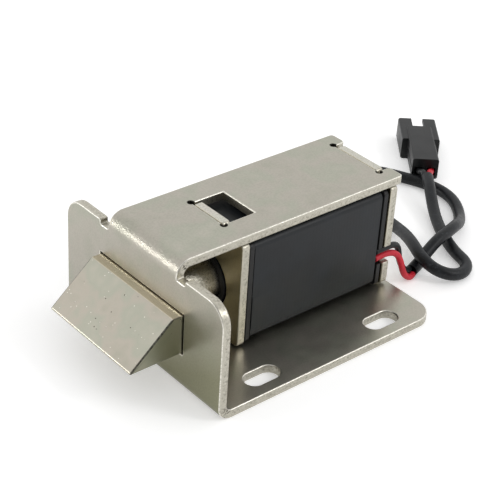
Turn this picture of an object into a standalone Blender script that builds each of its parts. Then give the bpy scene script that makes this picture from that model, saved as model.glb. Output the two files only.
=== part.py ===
"""Electromagnetic cabinet lock: a folded frame, a coil, a sliding wedge bolt, two leads and a connector.

X runs along the bolt, which points to -X. Z is up, and Z = 0 is the underside of the base flange.
The origin lies under the middle of the lock's length and width.
"""

import math

import bmesh
import bpy
import numpy as np
from mathutils import Matrix, Vector

MM = 0.001

# Folded frame. Depths are taken from the front plate's outer face, heights from the underside.
SHEET = 2.0 * MM
FRAME_HEIGHT = 29.7 * MM
FLANGE_WIDTH = 52.8 * MM
FLANGE_LENGTH = 61.7 * MM
FLANGE_CORNER = 5.0 * MM
TOP_WIDTH = 23.0 * MM
TOP_LENGTH = 62.0 * MM
TOP_CORNER = 1.0 * MM
BEND_RADIUS = 3.5 * MM
BEND_STEPS = 8
EAR_DROP = 2.7 * MM
EAR_CORNER = 5.0 * MM
RELIEF_WIDTH = 2.7 * MM
RELIEF_DEPTH = 1.1 * MM
RELIEF_CORNER = 0.4 * MM
SLOT_WIDTH = 4.5 * MM
SLOT_LENGTH = 8.6 * MM
SLOT_DEPTHS = (15.4 * MM, 49.5 * MM)
SLOT_INSET = 5.1 * MM
WINDOW_LENGTH = 8.4 * MM
MOUTH_CORNER = 1.0 * MM
RELIEF_HOLE = 0.45 * MM
SHEET_EDGE = 0.22 * MM

# Yoke plates across the frame, held by tabs
YOKE_THICKNESS = 2.0 * MM
FRONT_YOKE_DEPTH = 16.8 * MM
REAR_YOKE_DEPTH = 58.75 * MM
YOKE_CORNER = 0.9 * MM
YOKE_LIFT = 0.5 * MM
YOKE_TOP_GAP = 0.3 * MM
FRONT_TAB_WIDTH = 9.9 * MM
REAR_TAB_WIDTH = 12.9 * MM
REAR_NOTCH_WIDTH = 14.2 * MM
TAB_CLEARANCE = 0.2 * MM
TAB_SHORTFALL = 0.05 * MM

# Bolt, plunger and their stroke
AXIS_BELOW_MIDDLE = 0.55 * MM
STROKE = 10.0 * MM
STOP_CLEARANCE = 0.3 * MM
BOLT_REACH = 12.5 * MM
BOLT_FLAT = 2.4 * MM
BOLT_WIDTH = 28.0 * MM
BOLT_HEIGHT = 9.1 * MM
BOLT_NOSE = 0.35 * MM
BOLT_CLEARANCE = 0.3 * MM
SHOULDER_OVERHANG = 1.5 * MM
SHOULDER_LENGTH = 3.5 * MM
BOLT_EDGE = 0.25 * MM
PLUNGER_DIAMETER = 10.0 * MM
PLUNGER_CHAMFER = 0.4 * MM
NECK_DIAMETER = 6.0 * MM
NECK_LENGTH = 6.8 * MM
PIN_DIAMETER = 2.0 * MM
PIN_CLEARANCE = 0.1 * MM

# Coil, core and return spring
BOBBIN_BORE = 10.6 * MM
BOBBIN_WALL = 1.0 * MM
COLLAR_WALL = 1.35 * MM
COLLAR_PROUD = 0.3 * MM
BOBBIN_INSET = 0.3 * MM
BOBBIN_CORNER = 1.2 * MM
BOBBIN_LIFT = 0.4 * MM
BOBBIN_HEADROOM = 0.9 * MM
CHEEK_THICKNESS = 1.3 * MM
WRAP_INSET = 0.25 * MM
WRAP_THICKNESS = 0.4 * MM
WRAP_CORNER = 1.6 * MM
WINDING_CORNER = 3.0 * MM
SEAT_GAP = 0.3 * MM
CORE_DEPTH = 44.0 * MM
CORE_DIAMETER = 10.2 * MM
CORE_NECK_DIAMETER = 7.4 * MM
CORE_HEAD_DIAMETER = 9.2 * MM
CORE_HEAD_HEIGHT = 0.8 * MM
WASHER_THICKNESS = 0.5 * MM
WASHER_DIAMETER = 9.6 * MM
SPRING_BORE = 6.0 * MM
SPRING_WIRE = 0.5 * MM
SPRING_TURNS = 13
CLOSED_PITCH = 1.1
SPRING_CLEARANCE = 0.3 * MM
SPRING_BORE_DEPTH = 12.0 * MM
SPRING_SEAT_DEPTH = 4.0 * MM

# Leads, sleeve and connector
LEAD_DIAMETER = 1.5 * MM
LEAD_INSET = 1.2 * MM
LEAD_PITCH = 1.9 * MM
RED_LEAD_HEIGHT = 9.2 * MM
LEAD_CLEARANCE = 0.35 * MM
SLEEVE_DIAMETER = 2.9 * MM
SLEEVE_POINT_SPACING = 3.2 * MM
LEAD_POINT_SPACING = 2.0 * MM
FLOOR_GAP = 0.05 * MM
CROSSING_GAP = 0.2 * MM
CONNECTOR_BEHIND = 44.0 * MM
CONNECTOR_ACROSS = 19.2 * MM
CONNECTOR_ANGLE = math.radians(50.3)
HEAD_LENGTH = 12.0 * MM
HEAD_WIDTH = 10.0 * MM
HEAD_HEIGHT = 6.0 * MM
TAIL_LENGTH = 12.0 * MM
TAIL_WIDTH = 6.8 * MM
TAIL_RISE = 0.8 * MM
RIB_HEIGHT = 0.5 * MM
HOUSING_WALL = 1.05 * MM
HOUSING_CORNER = 0.6 * MM
HOUSING_EDGE = 0.15 * MM
MOUTH_DEPTH = 8.0 * MM
LATCH_WIDTH = 3.0 * MM
LATCH_LENGTH = 4.3 * MM
CONTACT_PITCH = 3.2 * MM
CHANNEL_SIZE = 2.0 * MM
CONTACT_CLEARANCE = 0.15 * MM
CONTACT_PIN_DIAMETER = 0.9 * MM
CONTACT_START = 5.3 * MM
CONTACT_BODY_LENGTH = 9.5 * MM
CONTACT_PIN_LENGTH = 6.0 * MM

# Places that follow from the sizes above
EAR_HEIGHT = FRAME_HEIGHT - EAR_DROP
SLOT_OFFSET = FLANGE_WIDTH / 2 - SLOT_INSET
AXIS_HEIGHT = FRAME_HEIGHT / 2 - AXIS_BELOW_MIDDLE
FRONT_X = (BOLT_REACH - TOP_LENGTH) / 2
FRONT_YOKE_X = FRONT_X + FRONT_YOKE_DEPTH
REAR_YOKE_X = FRONT_X + REAR_YOKE_DEPTH
REAR_FACE_X = REAR_YOKE_X + YOKE_THICKNESS
BOLT_REAR_X = FRONT_X + SHEET + STOP_CLEARANCE + SHOULDER_LENGTH
PIN_DEPTH = SHEET + STOP_CLEARANCE + SHOULDER_LENGTH / 2
CORE_X = FRONT_X + CORE_DEPTH
WASHER_X = CORE_X - SEAT_GAP / 2 - WASHER_THICKNESS
PLUNGER_END_X = WASHER_X - STOP_CLEARANCE - STROKE
FRONT_CHEEK_X = FRONT_YOKE_X + YOKE_THICKNESS + SEAT_GAP
REAR_CHEEK_X = REAR_YOKE_X - SEAT_GAP - CHEEK_THICKNESS
WRAP_START_X = FRONT_CHEEK_X + CHEEK_THICKNESS + SEAT_GAP
WRAP_END_X = REAR_CHEEK_X - SEAT_GAP
BOBBIN_WIDTH = TOP_WIDTH - 2 * BOBBIN_INSET
BOBBIN_LOW = SHEET + BOBBIN_LIFT
BOBBIN_HIGH = FRAME_HEIGHT - SHEET - BOBBIN_HEADROOM
SPRING_RADIUS = SPRING_BORE / 2 - SPRING_CLEARANCE - SPRING_WIRE / 2
LEAD_OFFSET = TOP_WIDTH / 2 - LEAD_INSET
SLEEVE_REST = SLEEVE_DIAMETER / 2 + FLOOR_GAP
SLEEVE_STEP = SLEEVE_DIAMETER + CROSSING_GAP
CONNECTOR_PLACE = (REAR_FACE_X + CONNECTOR_BEHIND, CONNECTOR_ACROSS, FLOOR_GAP)

ROUND_SIDES = 40
SMALL_SIDES = 16
SPRING_STEPS = 12
ROUTE_READINGS = 40
ARC_STEP = math.radians(15)
SMOOTH_ANGLE = math.radians(35)
FLAT_ANGLE = math.radians(1)
MERGE_DISTANCE = 1e-7

# How an outline's two directions and its height become X, Y and Z
ALONG_X = Matrix(((0, 0, 1), (1, 0, 0), (0, 1, 0)))
ALONG_Y = Matrix(((1, 0, 0), (0, 0, -1), (0, 1, 0)))
ALONG_Z = Matrix.Identity(3)

STEEL = ((0.46, 0.44, 0.38), 0.38, 1.0)
BOLT_STEEL = ((0.42, 0.39, 0.31), 0.45, 1.0)
TURNED_STEEL = ((0.52, 0.51, 0.48), 0.28, 1.0)
BRASS = ((0.62, 0.45, 0.18), 0.3, 1.0)
TIN = ((0.72, 0.71, 0.68), 0.3, 1.0)
SPRING_STEEL = ((0.36, 0.35, 0.34), 0.35, 1.0)
COPPER = ((0.64, 0.27, 0.12), 0.35, 1.0)
NYLON = ((0.012, 0.012, 0.013), 0.5, 0.0)
FILM = ((0.035, 0.037, 0.042), 0.4, 0.0)
SLEEVE_BLACK = ((0.014, 0.017, 0.02), 0.42, 0.0)
HOUSING_BLACK = ((0.016, 0.017, 0.018), 0.45, 0.0)
RED_VINYL = ((0.55, 0.02, 0.035), 0.4, 0.0)
BLACK_VINYL = ((0.012, 0.013, 0.014), 0.4, 0.0)


def clear_scene():
    for item in list(bpy.data.objects):
        bpy.data.objects.remove(item, do_unlink=True)


def material(name, finish):
    colour, roughness, metallic = finish
    made = bpy.data.materials.new(name)
    made.use_nodes = True
    shader = made.node_tree.nodes["Principled BSDF"]
    shader.inputs["Base Color"].default_value = (*colour, 1.0)
    shader.inputs["Roughness"].default_value = roughness
    shader.inputs["Metallic"].default_value = metallic
    made.diffuse_color = (*colour, 1.0)
    return made


def add(name, data, finish=None, place=(0, 0, 0), parent=None):
    """Put an object into the scene. Without a finish it is a cutter, which isn't rendered."""
    item = bpy.data.objects.new(name, data)
    bpy.context.scene.collection.objects.link(item)
    item.location = place
    item.parent = parent
    if finish:
        data.materials.append(material(name, finish))
    elif data:
        item.hide_render = True
        item.display_type = "WIRE"
    return item


def finished(bm, name):
    """The mesh of a closed bmesh, smooth on its round stretches."""
    bmesh.ops.recalc_face_normals(bm, faces=bm.faces)
    mesh = bpy.data.meshes.new(name)
    bm.to_mesh(mesh)
    bm.free()
    mesh.shade_smooth()
    mesh.set_sharp_from_angle(angle=SMOOTH_ANGLE)
    return mesh


def rounded(corners):
    """Outline through corners of (u, v, radius), with an arc at each corner that has a radius."""
    outline = []
    for index, (u, v, radius) in enumerate(corners):
        corner = Vector((u, v))
        if not radius:
            outline.append(corner)
            continue
        back = (Vector(corners[index - 1][:2]) - corner).normalized()
        ahead = (Vector(corners[(index + 1) % len(corners)][:2]) - corner).normalized()
        half = back.angle(ahead) / 2
        reach = radius / math.tan(half)
        centre = corner + (back + ahead).normalized() * (radius / math.sin(half))
        start = corner + back * reach - centre
        end = corner + ahead * reach - centre
        turn = start.angle_signed(end)
        steps = max(2, round(abs(turn) / ARC_STEP))
        for step in range(steps + 1):
            outline.append(centre + Matrix.Rotation(-turn * step / steps, 2) @ start)
    return outline


def rectangle(width, low, high, radius=0.0):
    """Corners of a box outline, centred across and from low to high."""
    half = width / 2
    return [(-half, low, radius), (half, low, radius), (half, high, radius), (-half, high, radius)]


def circle(radius, sides, centre=(0.0, 0.0)):
    angles = [2 * math.pi * (side + 0.5) / sides for side in range(sides)]
    return [Vector((centre[0] + radius * math.cos(a), centre[1] + radius * math.sin(a))) for a in angles]


def prism(name, outline, low, high, axes):
    """Closed solid: an outline extruded from low to high along the third direction of axes."""
    bm = bmesh.new()
    rim = [bm.verts.new(axes @ Vector((u, v, low))) for u, v in outline]
    face = bm.faces.new(rim)
    swept = bmesh.ops.extrude_face_region(bm, geom=[face])
    moved = [item for item in swept["geom"] if isinstance(item, bmesh.types.BMVert)]
    bmesh.ops.translate(bm, verts=moved, vec=axes @ Vector((0, 0, high - low)))
    return finished(bm, name)


def turned(name, profile, sides, ring=False):
    """Solid of revolution round X through (x, radius) points. A ring's profile closes on itself."""
    bm = bmesh.new()
    verts = [bm.verts.new((x, 0, radius)) for x, radius in profile]
    pairs = list(zip(verts, verts[1:]))
    if ring:
        pairs.append((verts[-1], verts[0]))
    edges = [bm.edges.new(pair) for pair in pairs]
    bmesh.ops.rotate(bm, verts=verts, matrix=Matrix.Rotation(math.pi / sides, 3, "X"))
    bmesh.ops.spin(
        bm, geom=verts + edges, cent=(0, 0, 0), axis=(1, 0, 0), angle=2 * math.pi, steps=sides, use_merge=True
    )
    bmesh.ops.remove_doubles(bm, verts=bm.verts, dist=MERGE_DISTANCE)
    return finished(bm, name)


def combine(body, tools, operation="DIFFERENCE"):
    for tool in tools:
        step = body.modifiers.new(tool.name, "BOOLEAN")
        step.operation = operation
        step.object = tool


def soften(body, width, segments=2):
    """Break the sharp edges, as tumbling or a punch does."""
    step = body.modifiers.new("edges", "BEVEL")
    step.width = width
    step.segments = segments
    step.limit_method = "ANGLE"
    step.angle_limit = SMOOTH_ANGLE
    step.use_clamp_overlap = False


def shaded(body):
    """Sharp edges for the faces that a Boolean or a Bevel leaves."""
    bpy.context.view_layer.update()
    graph = bpy.context.evaluated_depsgraph_get()
    mesh = bpy.data.meshes.new_from_object(body.evaluated_get(graph))
    mesh.shade_smooth()
    mesh.set_sharp_from_angle(angle=SMOOTH_ANGLE)
    mesh.materials.clear()
    mesh.materials.append(body.data.materials[0])
    body.modifiers.clear()
    body.data = mesh


# The flat blank, measured along the strip from the flange's rear edge
BEND_MIDDLE = BEND_RADIUS - SHEET / 2
BEND_RUN = math.pi / 2 * BEND_MIDDLE
LOWER_BEND = FLANGE_LENGTH - BEND_RADIUS
FRONT_START = LOWER_BEND + BEND_RUN
UPPER_BEND = FRONT_START + FRAME_HEIGHT - 2 * BEND_RADIUS
TOP_START = UPPER_BEND + BEND_RUN
BLANK_END = TOP_START + TOP_LENGTH - BEND_RADIUS


def flange_run(depth):
    return FLANGE_LENGTH - depth


def front_run(height):
    return FRONT_START + height - BEND_RADIUS


def top_run(depth):
    return TOP_START + depth - BEND_RADIUS


def blank_outline():
    """Half of the blank from rear edge to rear edge, then the other half the other way."""
    relief_inner = TOP_WIDTH / 2
    relief_outer = relief_inner + RELIEF_WIDTH
    ear_top = front_run(EAR_HEIGHT)
    relief_floor = ear_top - RELIEF_DEPTH
    notch = REAR_NOTCH_WIDTH / 2
    notch_depth = REAR_YOKE_DEPTH - TAB_CLEARANCE
    half = [
        (flange_run(notch_depth), notch, 0.0),
        (0.0, notch, MOUTH_CORNER),
        (0.0, FLANGE_WIDTH / 2, FLANGE_CORNER),
        (ear_top, FLANGE_WIDTH / 2, EAR_CORNER),
        (ear_top, relief_outer, RELIEF_CORNER),
        (relief_floor, relief_outer, RELIEF_CORNER),
        (relief_floor, relief_inner, RELIEF_CORNER),
        (BLANK_END, relief_inner, TOP_CORNER),
        (BLANK_END, notch, MOUTH_CORNER),
        (top_run(notch_depth), notch, 0.0),
    ]
    other = [(run, -across, radius) for run, across, radius in reversed(half)]
    return rounded(half + other)


def slot_outline(run, across):
    """Oblong hole with a half circle at each end, lying along the strip."""
    radius = SLOT_WIDTH / 2
    reach = SLOT_LENGTH / 2 - radius
    steps = round(math.pi / ARC_STEP)
    outline = []
    for end, first in ((1, -math.pi / 2), (-1, math.pi / 2)):
        for step in range(steps + 1):
            angle = first + step * math.pi / steps
            along = run + end * reach + radius * math.cos(angle)
            outline.append(Vector((along, across + radius * math.sin(angle))))
    return outline


def span_outline(start, end, width, radius=0.0):
    """Rectangular hole in the blank from start to end of the strip."""
    half = width / 2
    return rounded([(start, -half, radius), (end, -half, radius), (end, half, radius), (start, half, radius)])


def blank_holes():
    window = FRONT_YOKE_DEPTH - TAB_CLEARANCE
    tab_end = FRONT_YOKE_DEPTH + YOKE_THICKNESS + TAB_CLEARANCE
    tab_hole = FRONT_TAB_WIDTH + 2 * TAB_CLEARANCE
    bolt_low = AXIS_HEIGHT - BOLT_HEIGHT / 2 - BOLT_CLEARANCE
    bolt_high = AXIS_HEIGHT + BOLT_HEIGHT / 2 + BOLT_CLEARANCE
    bolt_across = BOLT_WIDTH + 2 * BOLT_CLEARANCE
    holes = [slot_outline(flange_run(depth), side * SLOT_OFFSET) for depth in SLOT_DEPTHS for side in (-1, 1)]
    holes.append(span_outline(front_run(bolt_low), front_run(bolt_high), bolt_across, BOLT_EDGE))
    holes.append(span_outline(top_run(window), top_run(window + WINDOW_LENGTH), tab_hole))
    holes.append(span_outline(flange_run(tab_end), flange_run(window), tab_hole))
    for run, half in ((window, tab_hole / 2), (REAR_YOKE_DEPTH - TAB_CLEARANCE, REAR_NOTCH_WIDTH / 2)):
        holes += [circle(RELIEF_HOLE, SMALL_SIDES, (top_run(run), side * half)) for side in (-1, 1)]
    return holes


def fold(point):
    """Move a point of the flat blank to its place in the folded frame."""
    run, across, out = point
    middle = SHEET / 2
    if run <= LOWER_BEND:
        return Vector((FLANGE_LENGTH - run, across, middle - out))
    if run < FRONT_START:
        angle = (run - LOWER_BEND) / BEND_MIDDLE
        radius = BEND_MIDDLE + out
        depth = BEND_RADIUS - radius * math.sin(angle)
        return Vector((depth, across, BEND_RADIUS - radius * math.cos(angle)))
    if run <= UPPER_BEND or abs(across) > TOP_WIDTH / 2 + RELIEF_WIDTH / 2:
        return Vector((middle - out, across, BEND_RADIUS + run - FRONT_START))
    if run < TOP_START:
        angle = (run - UPPER_BEND) / BEND_MIDDLE
        radius = BEND_MIDDLE + out
        height = FRAME_HEIGHT - BEND_RADIUS + radius * math.sin(angle)
        return Vector((BEND_RADIUS - radius * math.cos(angle), across, height))
    return Vector((BEND_RADIUS + run - TOP_START, across, FRAME_HEIGHT - middle + out))


def mounting_bracket():
    """Pierce the flat blank, break its edges, then fold it twice."""
    half = SHEET / 2
    blank = add("mounting_bracket", prism("blank", blank_outline(), -half, half, ALONG_Z), STEEL)
    tools = [
        add(f"blank_hole_{index}", prism("hole", outline, -SHEET, SHEET, ALONG_Z))
        for index, outline in enumerate(blank_holes())
    ]
    combine(blank, tools)
    soften(blank, SHEET_EDGE)
    shaded(blank)
    bm = bmesh.new()
    bm.from_mesh(blank.data)
    bmesh.ops.triangulate(bm, faces=bm.faces)
    for start in (LOWER_BEND, UPPER_BEND):
        for step in range(BEND_STEPS + 1):
            bmesh.ops.bisect_plane(
                bm,
                geom=bm.verts[:] + bm.edges[:] + bm.faces[:],
                dist=MERGE_DISTANCE,
                plane_co=(start + BEND_RUN * step / BEND_STEPS, 0, 0),
                plane_no=(1, 0, 0),
            )
    for vert in bm.verts:
        vert.co = fold(vert.co)
    bmesh.ops.dissolve_limit(bm, angle_limit=FLAT_ANGLE, verts=bm.verts, edges=bm.edges, delimit={"SHARP"})
    mesh = finished(bm, "mounting_bracket")
    mesh.materials.append(blank.data.materials[0])
    blank.data = mesh
    blank.location = (FRONT_X, 0, 0)
    for tool in tools:
        bpy.data.objects.remove(tool, do_unlink=True)


def yoke_outline(tab_width):
    """Plate across the frame with a tab at the top and one at the bottom."""
    plate = TOP_WIDTH / 2
    tab = tab_width / 2
    low = SHEET + YOKE_LIFT
    high = FRAME_HEIGHT - SHEET - YOKE_TOP_GAP
    tip = FRAME_HEIGHT - TAB_SHORTFALL
    half = [
        (tab, TAB_SHORTFALL, 0.0),
        (tab, low, 0.0),
        (plate, low, YOKE_CORNER),
        (plate, high, YOKE_CORNER),
        (tab, high, 0.0),
        (tab, tip, YOKE_CORNER),
    ]
    other = [(-across, height, radius) for across, height, radius in reversed(half)]
    return rounded(half + other)


def bore_tool(name, radius, start, end, sides=ROUND_SIDES):
    """Cutter for a round hole along the bolt's axis."""
    return add(name, prism(name, circle(radius, sides, (0.0, AXIS_HEIGHT)), start, end, ALONG_X))


def lead_tool(name, start, end):
    """Cutter for the notch through which both leads leave, open at the plate's right edge."""
    low = RED_LEAD_HEIGHT - LEAD_DIAMETER / 2 - LEAD_CLEARANCE
    high = RED_LEAD_HEIGHT + LEAD_PITCH + LEAD_DIAMETER / 2 + LEAD_CLEARANCE
    inner = -LEAD_OFFSET + LEAD_DIAMETER / 2 + LEAD_CLEARANCE
    outer = -TOP_WIDTH
    corner = LEAD_DIAMETER / 2
    outline = rounded([(outer, low, 0.0), (inner, low, corner), (inner, high, corner), (outer, high, 0.0)])
    return add(name, prism(name, outline, start, end, ALONG_X))


def yoke_plates():
    collar = BOBBIN_BORE / 2 + COLLAR_WALL + SEAT_GAP
    neck = CORE_NECK_DIAMETER / 2 + SEAT_GAP
    for name, tab, x, hole in (
        ("front_yoke_plate", FRONT_TAB_WIDTH, FRONT_YOKE_X, collar),
        ("rear_yoke_plate", REAR_TAB_WIDTH, REAR_YOKE_X, neck),
    ):
        end = x + YOKE_THICKNESS
        plate = add(name, prism(name, yoke_outline(tab), x, end, ALONG_X), STEEL)
        tools = [bore_tool(f"{name}_bore", hole, x - SHEET, end + SHEET)]
        if name == "rear_yoke_plate":
            tools.append(lead_tool("rear_yoke_lead_notch", x - SHEET, end + SHEET))
        soften(plate, SHEET_EDGE)
        combine(plate, tools)


def bobbin():
    """Moulded spool: a collar through the front yoke, two cheeks, and the bore that guides the plunger."""
    bore = BOBBIN_BORE / 2
    collar_x = FRONT_YOKE_X - COLLAR_PROUD
    outline = rounded(rectangle(BOBBIN_WIDTH, BOBBIN_LOW, BOBBIN_HIGH, BOBBIN_CORNER))
    body = add(
        "bobbin",
        prism("bobbin", outline, FRONT_CHEEK_X, FRONT_CHEEK_X + CHEEK_THICKNESS, ALONG_X),
        NYLON,
    )
    rear = add(
        "bobbin_rear_cheek",
        prism("bobbin_rear_cheek", outline, REAR_CHEEK_X, REAR_CHEEK_X + CHEEK_THICKNESS, ALONG_X),
    )
    half_cheek = CHEEK_THICKNESS / 2
    collar = bore_tool("bobbin_collar", bore + COLLAR_WALL, collar_x, FRONT_CHEEK_X + half_cheek)
    tube_x = FRONT_CHEEK_X + half_cheek / 2
    spool_tube = bore_tool("bobbin_tube", bore + BOBBIN_WALL, tube_x, REAR_CHEEK_X + half_cheek)
    combine(body, [rear, collar, spool_tube], "UNION")
    combine(
        body,
        [
            bore_tool("bobbin_bore", bore, collar_x - SHEET, REAR_YOKE_X),
            lead_tool("bobbin_lead_notch", REAR_CHEEK_X - CHEEK_THICKNESS, REAR_YOKE_X),
        ],
    )


def coil_outline(inset, radius):
    """The coil's section at a distance inside the bobbin's cheeks."""
    return rounded(rectangle(BOBBIN_WIDTH - 2 * inset, BOBBIN_LOW + inset, BOBBIN_HIGH - inset, radius))


def coil():
    """Copper winding on the spool, and the black film wound over it from cheek to cheek."""
    film = coil_outline(WRAP_INSET, WRAP_CORNER)
    wrap = add("coil_wrap", prism("coil_wrap", film, WRAP_START_X, WRAP_END_X, ALONG_X), FILM)
    inner = WRAP_INSET + WRAP_THICKNESS
    hollow = coil_outline(inner, WRAP_CORNER - WRAP_THICKNESS)
    start = WRAP_START_X - SHEET
    end = WRAP_END_X + SHEET
    combine(wrap, [add("coil_wrap_hollow", prism("hollow", hollow, start, end, ALONG_X))])
    copper = coil_outline(inner + SEAT_GAP, WINDING_CORNER)
    winding = add("coil_winding", prism("coil_winding", copper, WRAP_START_X, WRAP_END_X, ALONG_X), COPPER)
    combine(winding, [bore_tool("coil_winding_bore", BOBBIN_BORE / 2 + BOBBIN_WALL + SEAT_GAP, start, end)])


def fixed_core():
    """Turned stop with a spring seat, its neck staked over behind the rear yoke plate."""
    body = CORE_DIAMETER / 2
    neck = CORE_NECK_DIAMETER / 2
    head = CORE_HEAD_DIAMETER / 2
    seat = SPRING_BORE / 2
    shoulder = REAR_YOKE_X - SEAT_GAP - CORE_X
    rivet = REAR_FACE_X + SEAT_GAP - CORE_X
    profile = [
        (SPRING_SEAT_DEPTH, 0.0),
        (SPRING_SEAT_DEPTH, seat),
        (0.0, seat),
        (0.0, body - PLUNGER_CHAMFER),
        (PLUNGER_CHAMFER, body),
        (shoulder, body),
        (shoulder, neck),
        (rivet, neck),
        (rivet, head),
        (rivet + CORE_HEAD_HEIGHT / 2, head),
        (rivet + CORE_HEAD_HEIGHT, neck),
        (rivet + CORE_HEAD_HEIGHT, 0.0),
    ]
    add("fixed_core", turned("fixed_core", profile, ROUND_SIDES), TURNED_STEEL, (CORE_X, 0, AXIS_HEIGHT))
    inner = SPRING_BORE / 2
    outer = WASHER_DIAMETER / 2
    flat = [(0.0, inner), (0.0, outer), (WASHER_THICKNESS, outer), (WASHER_THICKNESS, inner)]
    ring = turned("core_washer", flat, ROUND_SIDES, ring=True)
    add("core_washer", ring, BRASS, (WASHER_X, 0, AXIS_HEIGHT))


def pin_tool(name, slide):
    """Cutter for the cross hole that holds the pin, through the middle of the bolt's shoulder."""
    hole = circle(PIN_DIAMETER / 2 + PIN_CLEARANCE, SMALL_SIDES, (PIN_DEPTH, 0.0))
    return add(name, prism(name, hole, -BOLT_HEIGHT, BOLT_HEIGHT, ALONG_Z), parent=slide)


def latch_bolt(slide):
    """Wedge block with a shoulder that stops behind the front plate."""
    half = BOLT_WIDTH / 2
    shoulder = half + SHOULDER_OVERHANG
    shoulder_x = SHEET + STOP_CLEARANCE
    rear = shoulder_x + SHOULDER_LENGTH
    low = -BOLT_HEIGHT / 2
    high = BOLT_HEIGHT / 2
    side = [(-BOLT_REACH, half), (shoulder_x, half), (shoulder_x, shoulder), (rear, shoulder)]
    outline = side + [(x, -across) for x, across in reversed(side)]
    body = add("latch_bolt", prism("latch_bolt", outline, low, high, ALONG_Z), BOLT_STEEL, parent=slide)
    slope = (high - low - BOLT_NOSE) / (BOLT_REACH - BOLT_FLAT)
    beyond = SHEET
    nose = low + BOLT_NOSE
    face = [
        (-BOLT_FLAT + beyond, high + slope * beyond),
        (-BOLT_REACH - beyond, nose - slope * beyond),
        (-BOLT_REACH - beyond, high + slope * beyond),
    ]
    slope_tool = add("latch_bolt_slope", prism("slope", face, -BOLT_WIDTH, BOLT_WIDTH, ALONG_Y), parent=slide)
    neck = circle(NECK_DIAMETER / 2 + SEAT_GAP / 2, SMALL_SIDES * 2)
    neck_front = rear - NECK_LENGTH - SEAT_GAP
    neck_tool = add("latch_bolt_bore", prism("neck", neck, neck_front, rear + SHEET, ALONG_X), parent=slide)
    combine(body, [slope_tool])
    soften(body, BOLT_EDGE)
    combine(body, [neck_tool, pin_tool("latch_bolt_pin_hole", slide)])


def plunger(slide):
    """Turned rod: a neck into the bolt, a body in the bobbin's bore, and a blind bore for the spring."""
    radius = PLUNGER_DIAMETER / 2
    neck = NECK_DIAMETER / 2
    bore = SPRING_BORE / 2
    front = BOLT_REAR_X + SEAT_GAP / 2 - FRONT_X
    end = PLUNGER_END_X - FRONT_X
    tip = BOLT_REAR_X - NECK_LENGTH - FRONT_X
    profile = [
        (tip, 0.0),
        (tip, neck - PLUNGER_CHAMFER),
        (tip + PLUNGER_CHAMFER, neck),
        (front, neck),
        (front, radius - PLUNGER_CHAMFER),
        (front + PLUNGER_CHAMFER, radius),
        (end - PLUNGER_CHAMFER, radius),
        (end, radius - PLUNGER_CHAMFER),
        (end, bore),
        (end - SPRING_BORE_DEPTH, bore),
        (end - SPRING_BORE_DEPTH, 0.0),
    ]
    body = add("plunger", turned("plunger", profile, ROUND_SIDES), TURNED_STEEL, parent=slide)
    combine(body, [pin_tool("plunger_pin_hole", slide)])


def bolt_pin(slide):
    """Cross pin with chamfered ends, just short of the bolt's faces."""
    half = BOLT_HEIGHT / 2 - SEAT_GAP
    radius = PIN_DIAMETER / 2
    profile = [
        (-half, 0.0),
        (-half, radius / 2),
        (radius / 2 - half, radius),
        (half - radius / 2, radius),
        (half, radius / 2),
        (half, 0.0),
    ]
    pin = add("bolt_pin", turned("bolt_pin", profile, SMALL_SIDES), TURNED_STEEL, (PIN_DEPTH, 0, 0), slide)
    pin.rotation_euler = (0, math.pi / 2, 0)


def tube(name, points, diameter, finish, resolution, place=(0, 0, 0)):
    """Round wire or sleeve along the points, closed at both ends."""
    curve = bpy.data.curves.new(name, "CURVE")
    curve.dimensions = "3D"
    curve.bevel_depth = diameter / 2
    curve.bevel_resolution = resolution
    curve.use_fill_caps = True
    spline = curve.splines.new("POLY")
    spline.points.add(len(points) - 1)
    for target, point in zip(spline.points, points):
        target.co = (*point, 1.0)
    return add(name, curve, finish, place)


def return_spring():
    """Compression spring from the plunger's blind bore to the core's seat, its end turns closed."""
    start = PLUNGER_END_X - SPRING_BORE_DEPTH + SEAT_GAP + SPRING_WIRE / 2
    length = CORE_X + SPRING_SEAT_DEPTH - SEAT_GAP - SPRING_WIRE / 2 - start
    closed = SPRING_WIRE * CLOSED_PITCH
    open_pitch = (length - 2 * closed) / (SPRING_TURNS - 2)
    points = []
    for step in range(SPRING_TURNS * SPRING_STEPS + 1):
        turn = step / SPRING_STEPS
        first = min(turn, 1.0)
        last = max(turn - (SPRING_TURNS - 1), 0.0)
        x = closed * (first + last) + open_pitch * (turn - first - last)
        angle = 2 * math.pi * turn
        points.append((x, SPRING_RADIUS * math.cos(angle), SPRING_RADIUS * math.sin(angle)))
    tube("return_spring", points, SPRING_WIRE, SPRING_STEEL, 1, (start, 0, AXIS_HEIGHT))


def smooth_route(points, spacing):
    """Natural cubic spline through the points, read at even spacing and never below the lowest."""
    route = np.array(points)
    gaps = np.sqrt(np.linalg.norm(np.diff(route, axis=0), axis=1))
    count = len(route)
    system = np.eye(count)
    pull = np.zeros((count, 3))
    for i in range(1, count - 1):
        system[i, i - 1 : i + 2] = gaps[i - 1], 2 * (gaps[i - 1] + gaps[i]), gaps[i]
        pull[i] = 6 * ((route[i + 1] - route[i]) / gaps[i] - (route[i] - route[i - 1]) / gaps[i - 1])
    bend = np.linalg.solve(system, pull)
    fine = []
    for i in range(count - 1):
        for share in np.linspace(0, 1, ROUTE_READINGS, endpoint=i == count - 2):
            rest = 1 - share
            curve = (rest**3 - rest) * bend[i] + (share**3 - share) * bend[i + 1]
            fine.append(rest * route[i] + share * route[i + 1] + gaps[i] ** 2 / 6 * curve)
    fine = np.array(fine)
    fine[:, 2] = np.maximum(fine[:, 2], route[:, 2].min())
    run = np.concatenate([[0], np.cumsum(np.linalg.norm(np.diff(fine, axis=0), axis=1))])
    stops = np.linspace(0, run[-1], round(run[-1] / spacing) + 1)
    return np.stack([np.interp(stops, run, fine[:, axis]) for axis in range(3)], 1)


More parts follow.
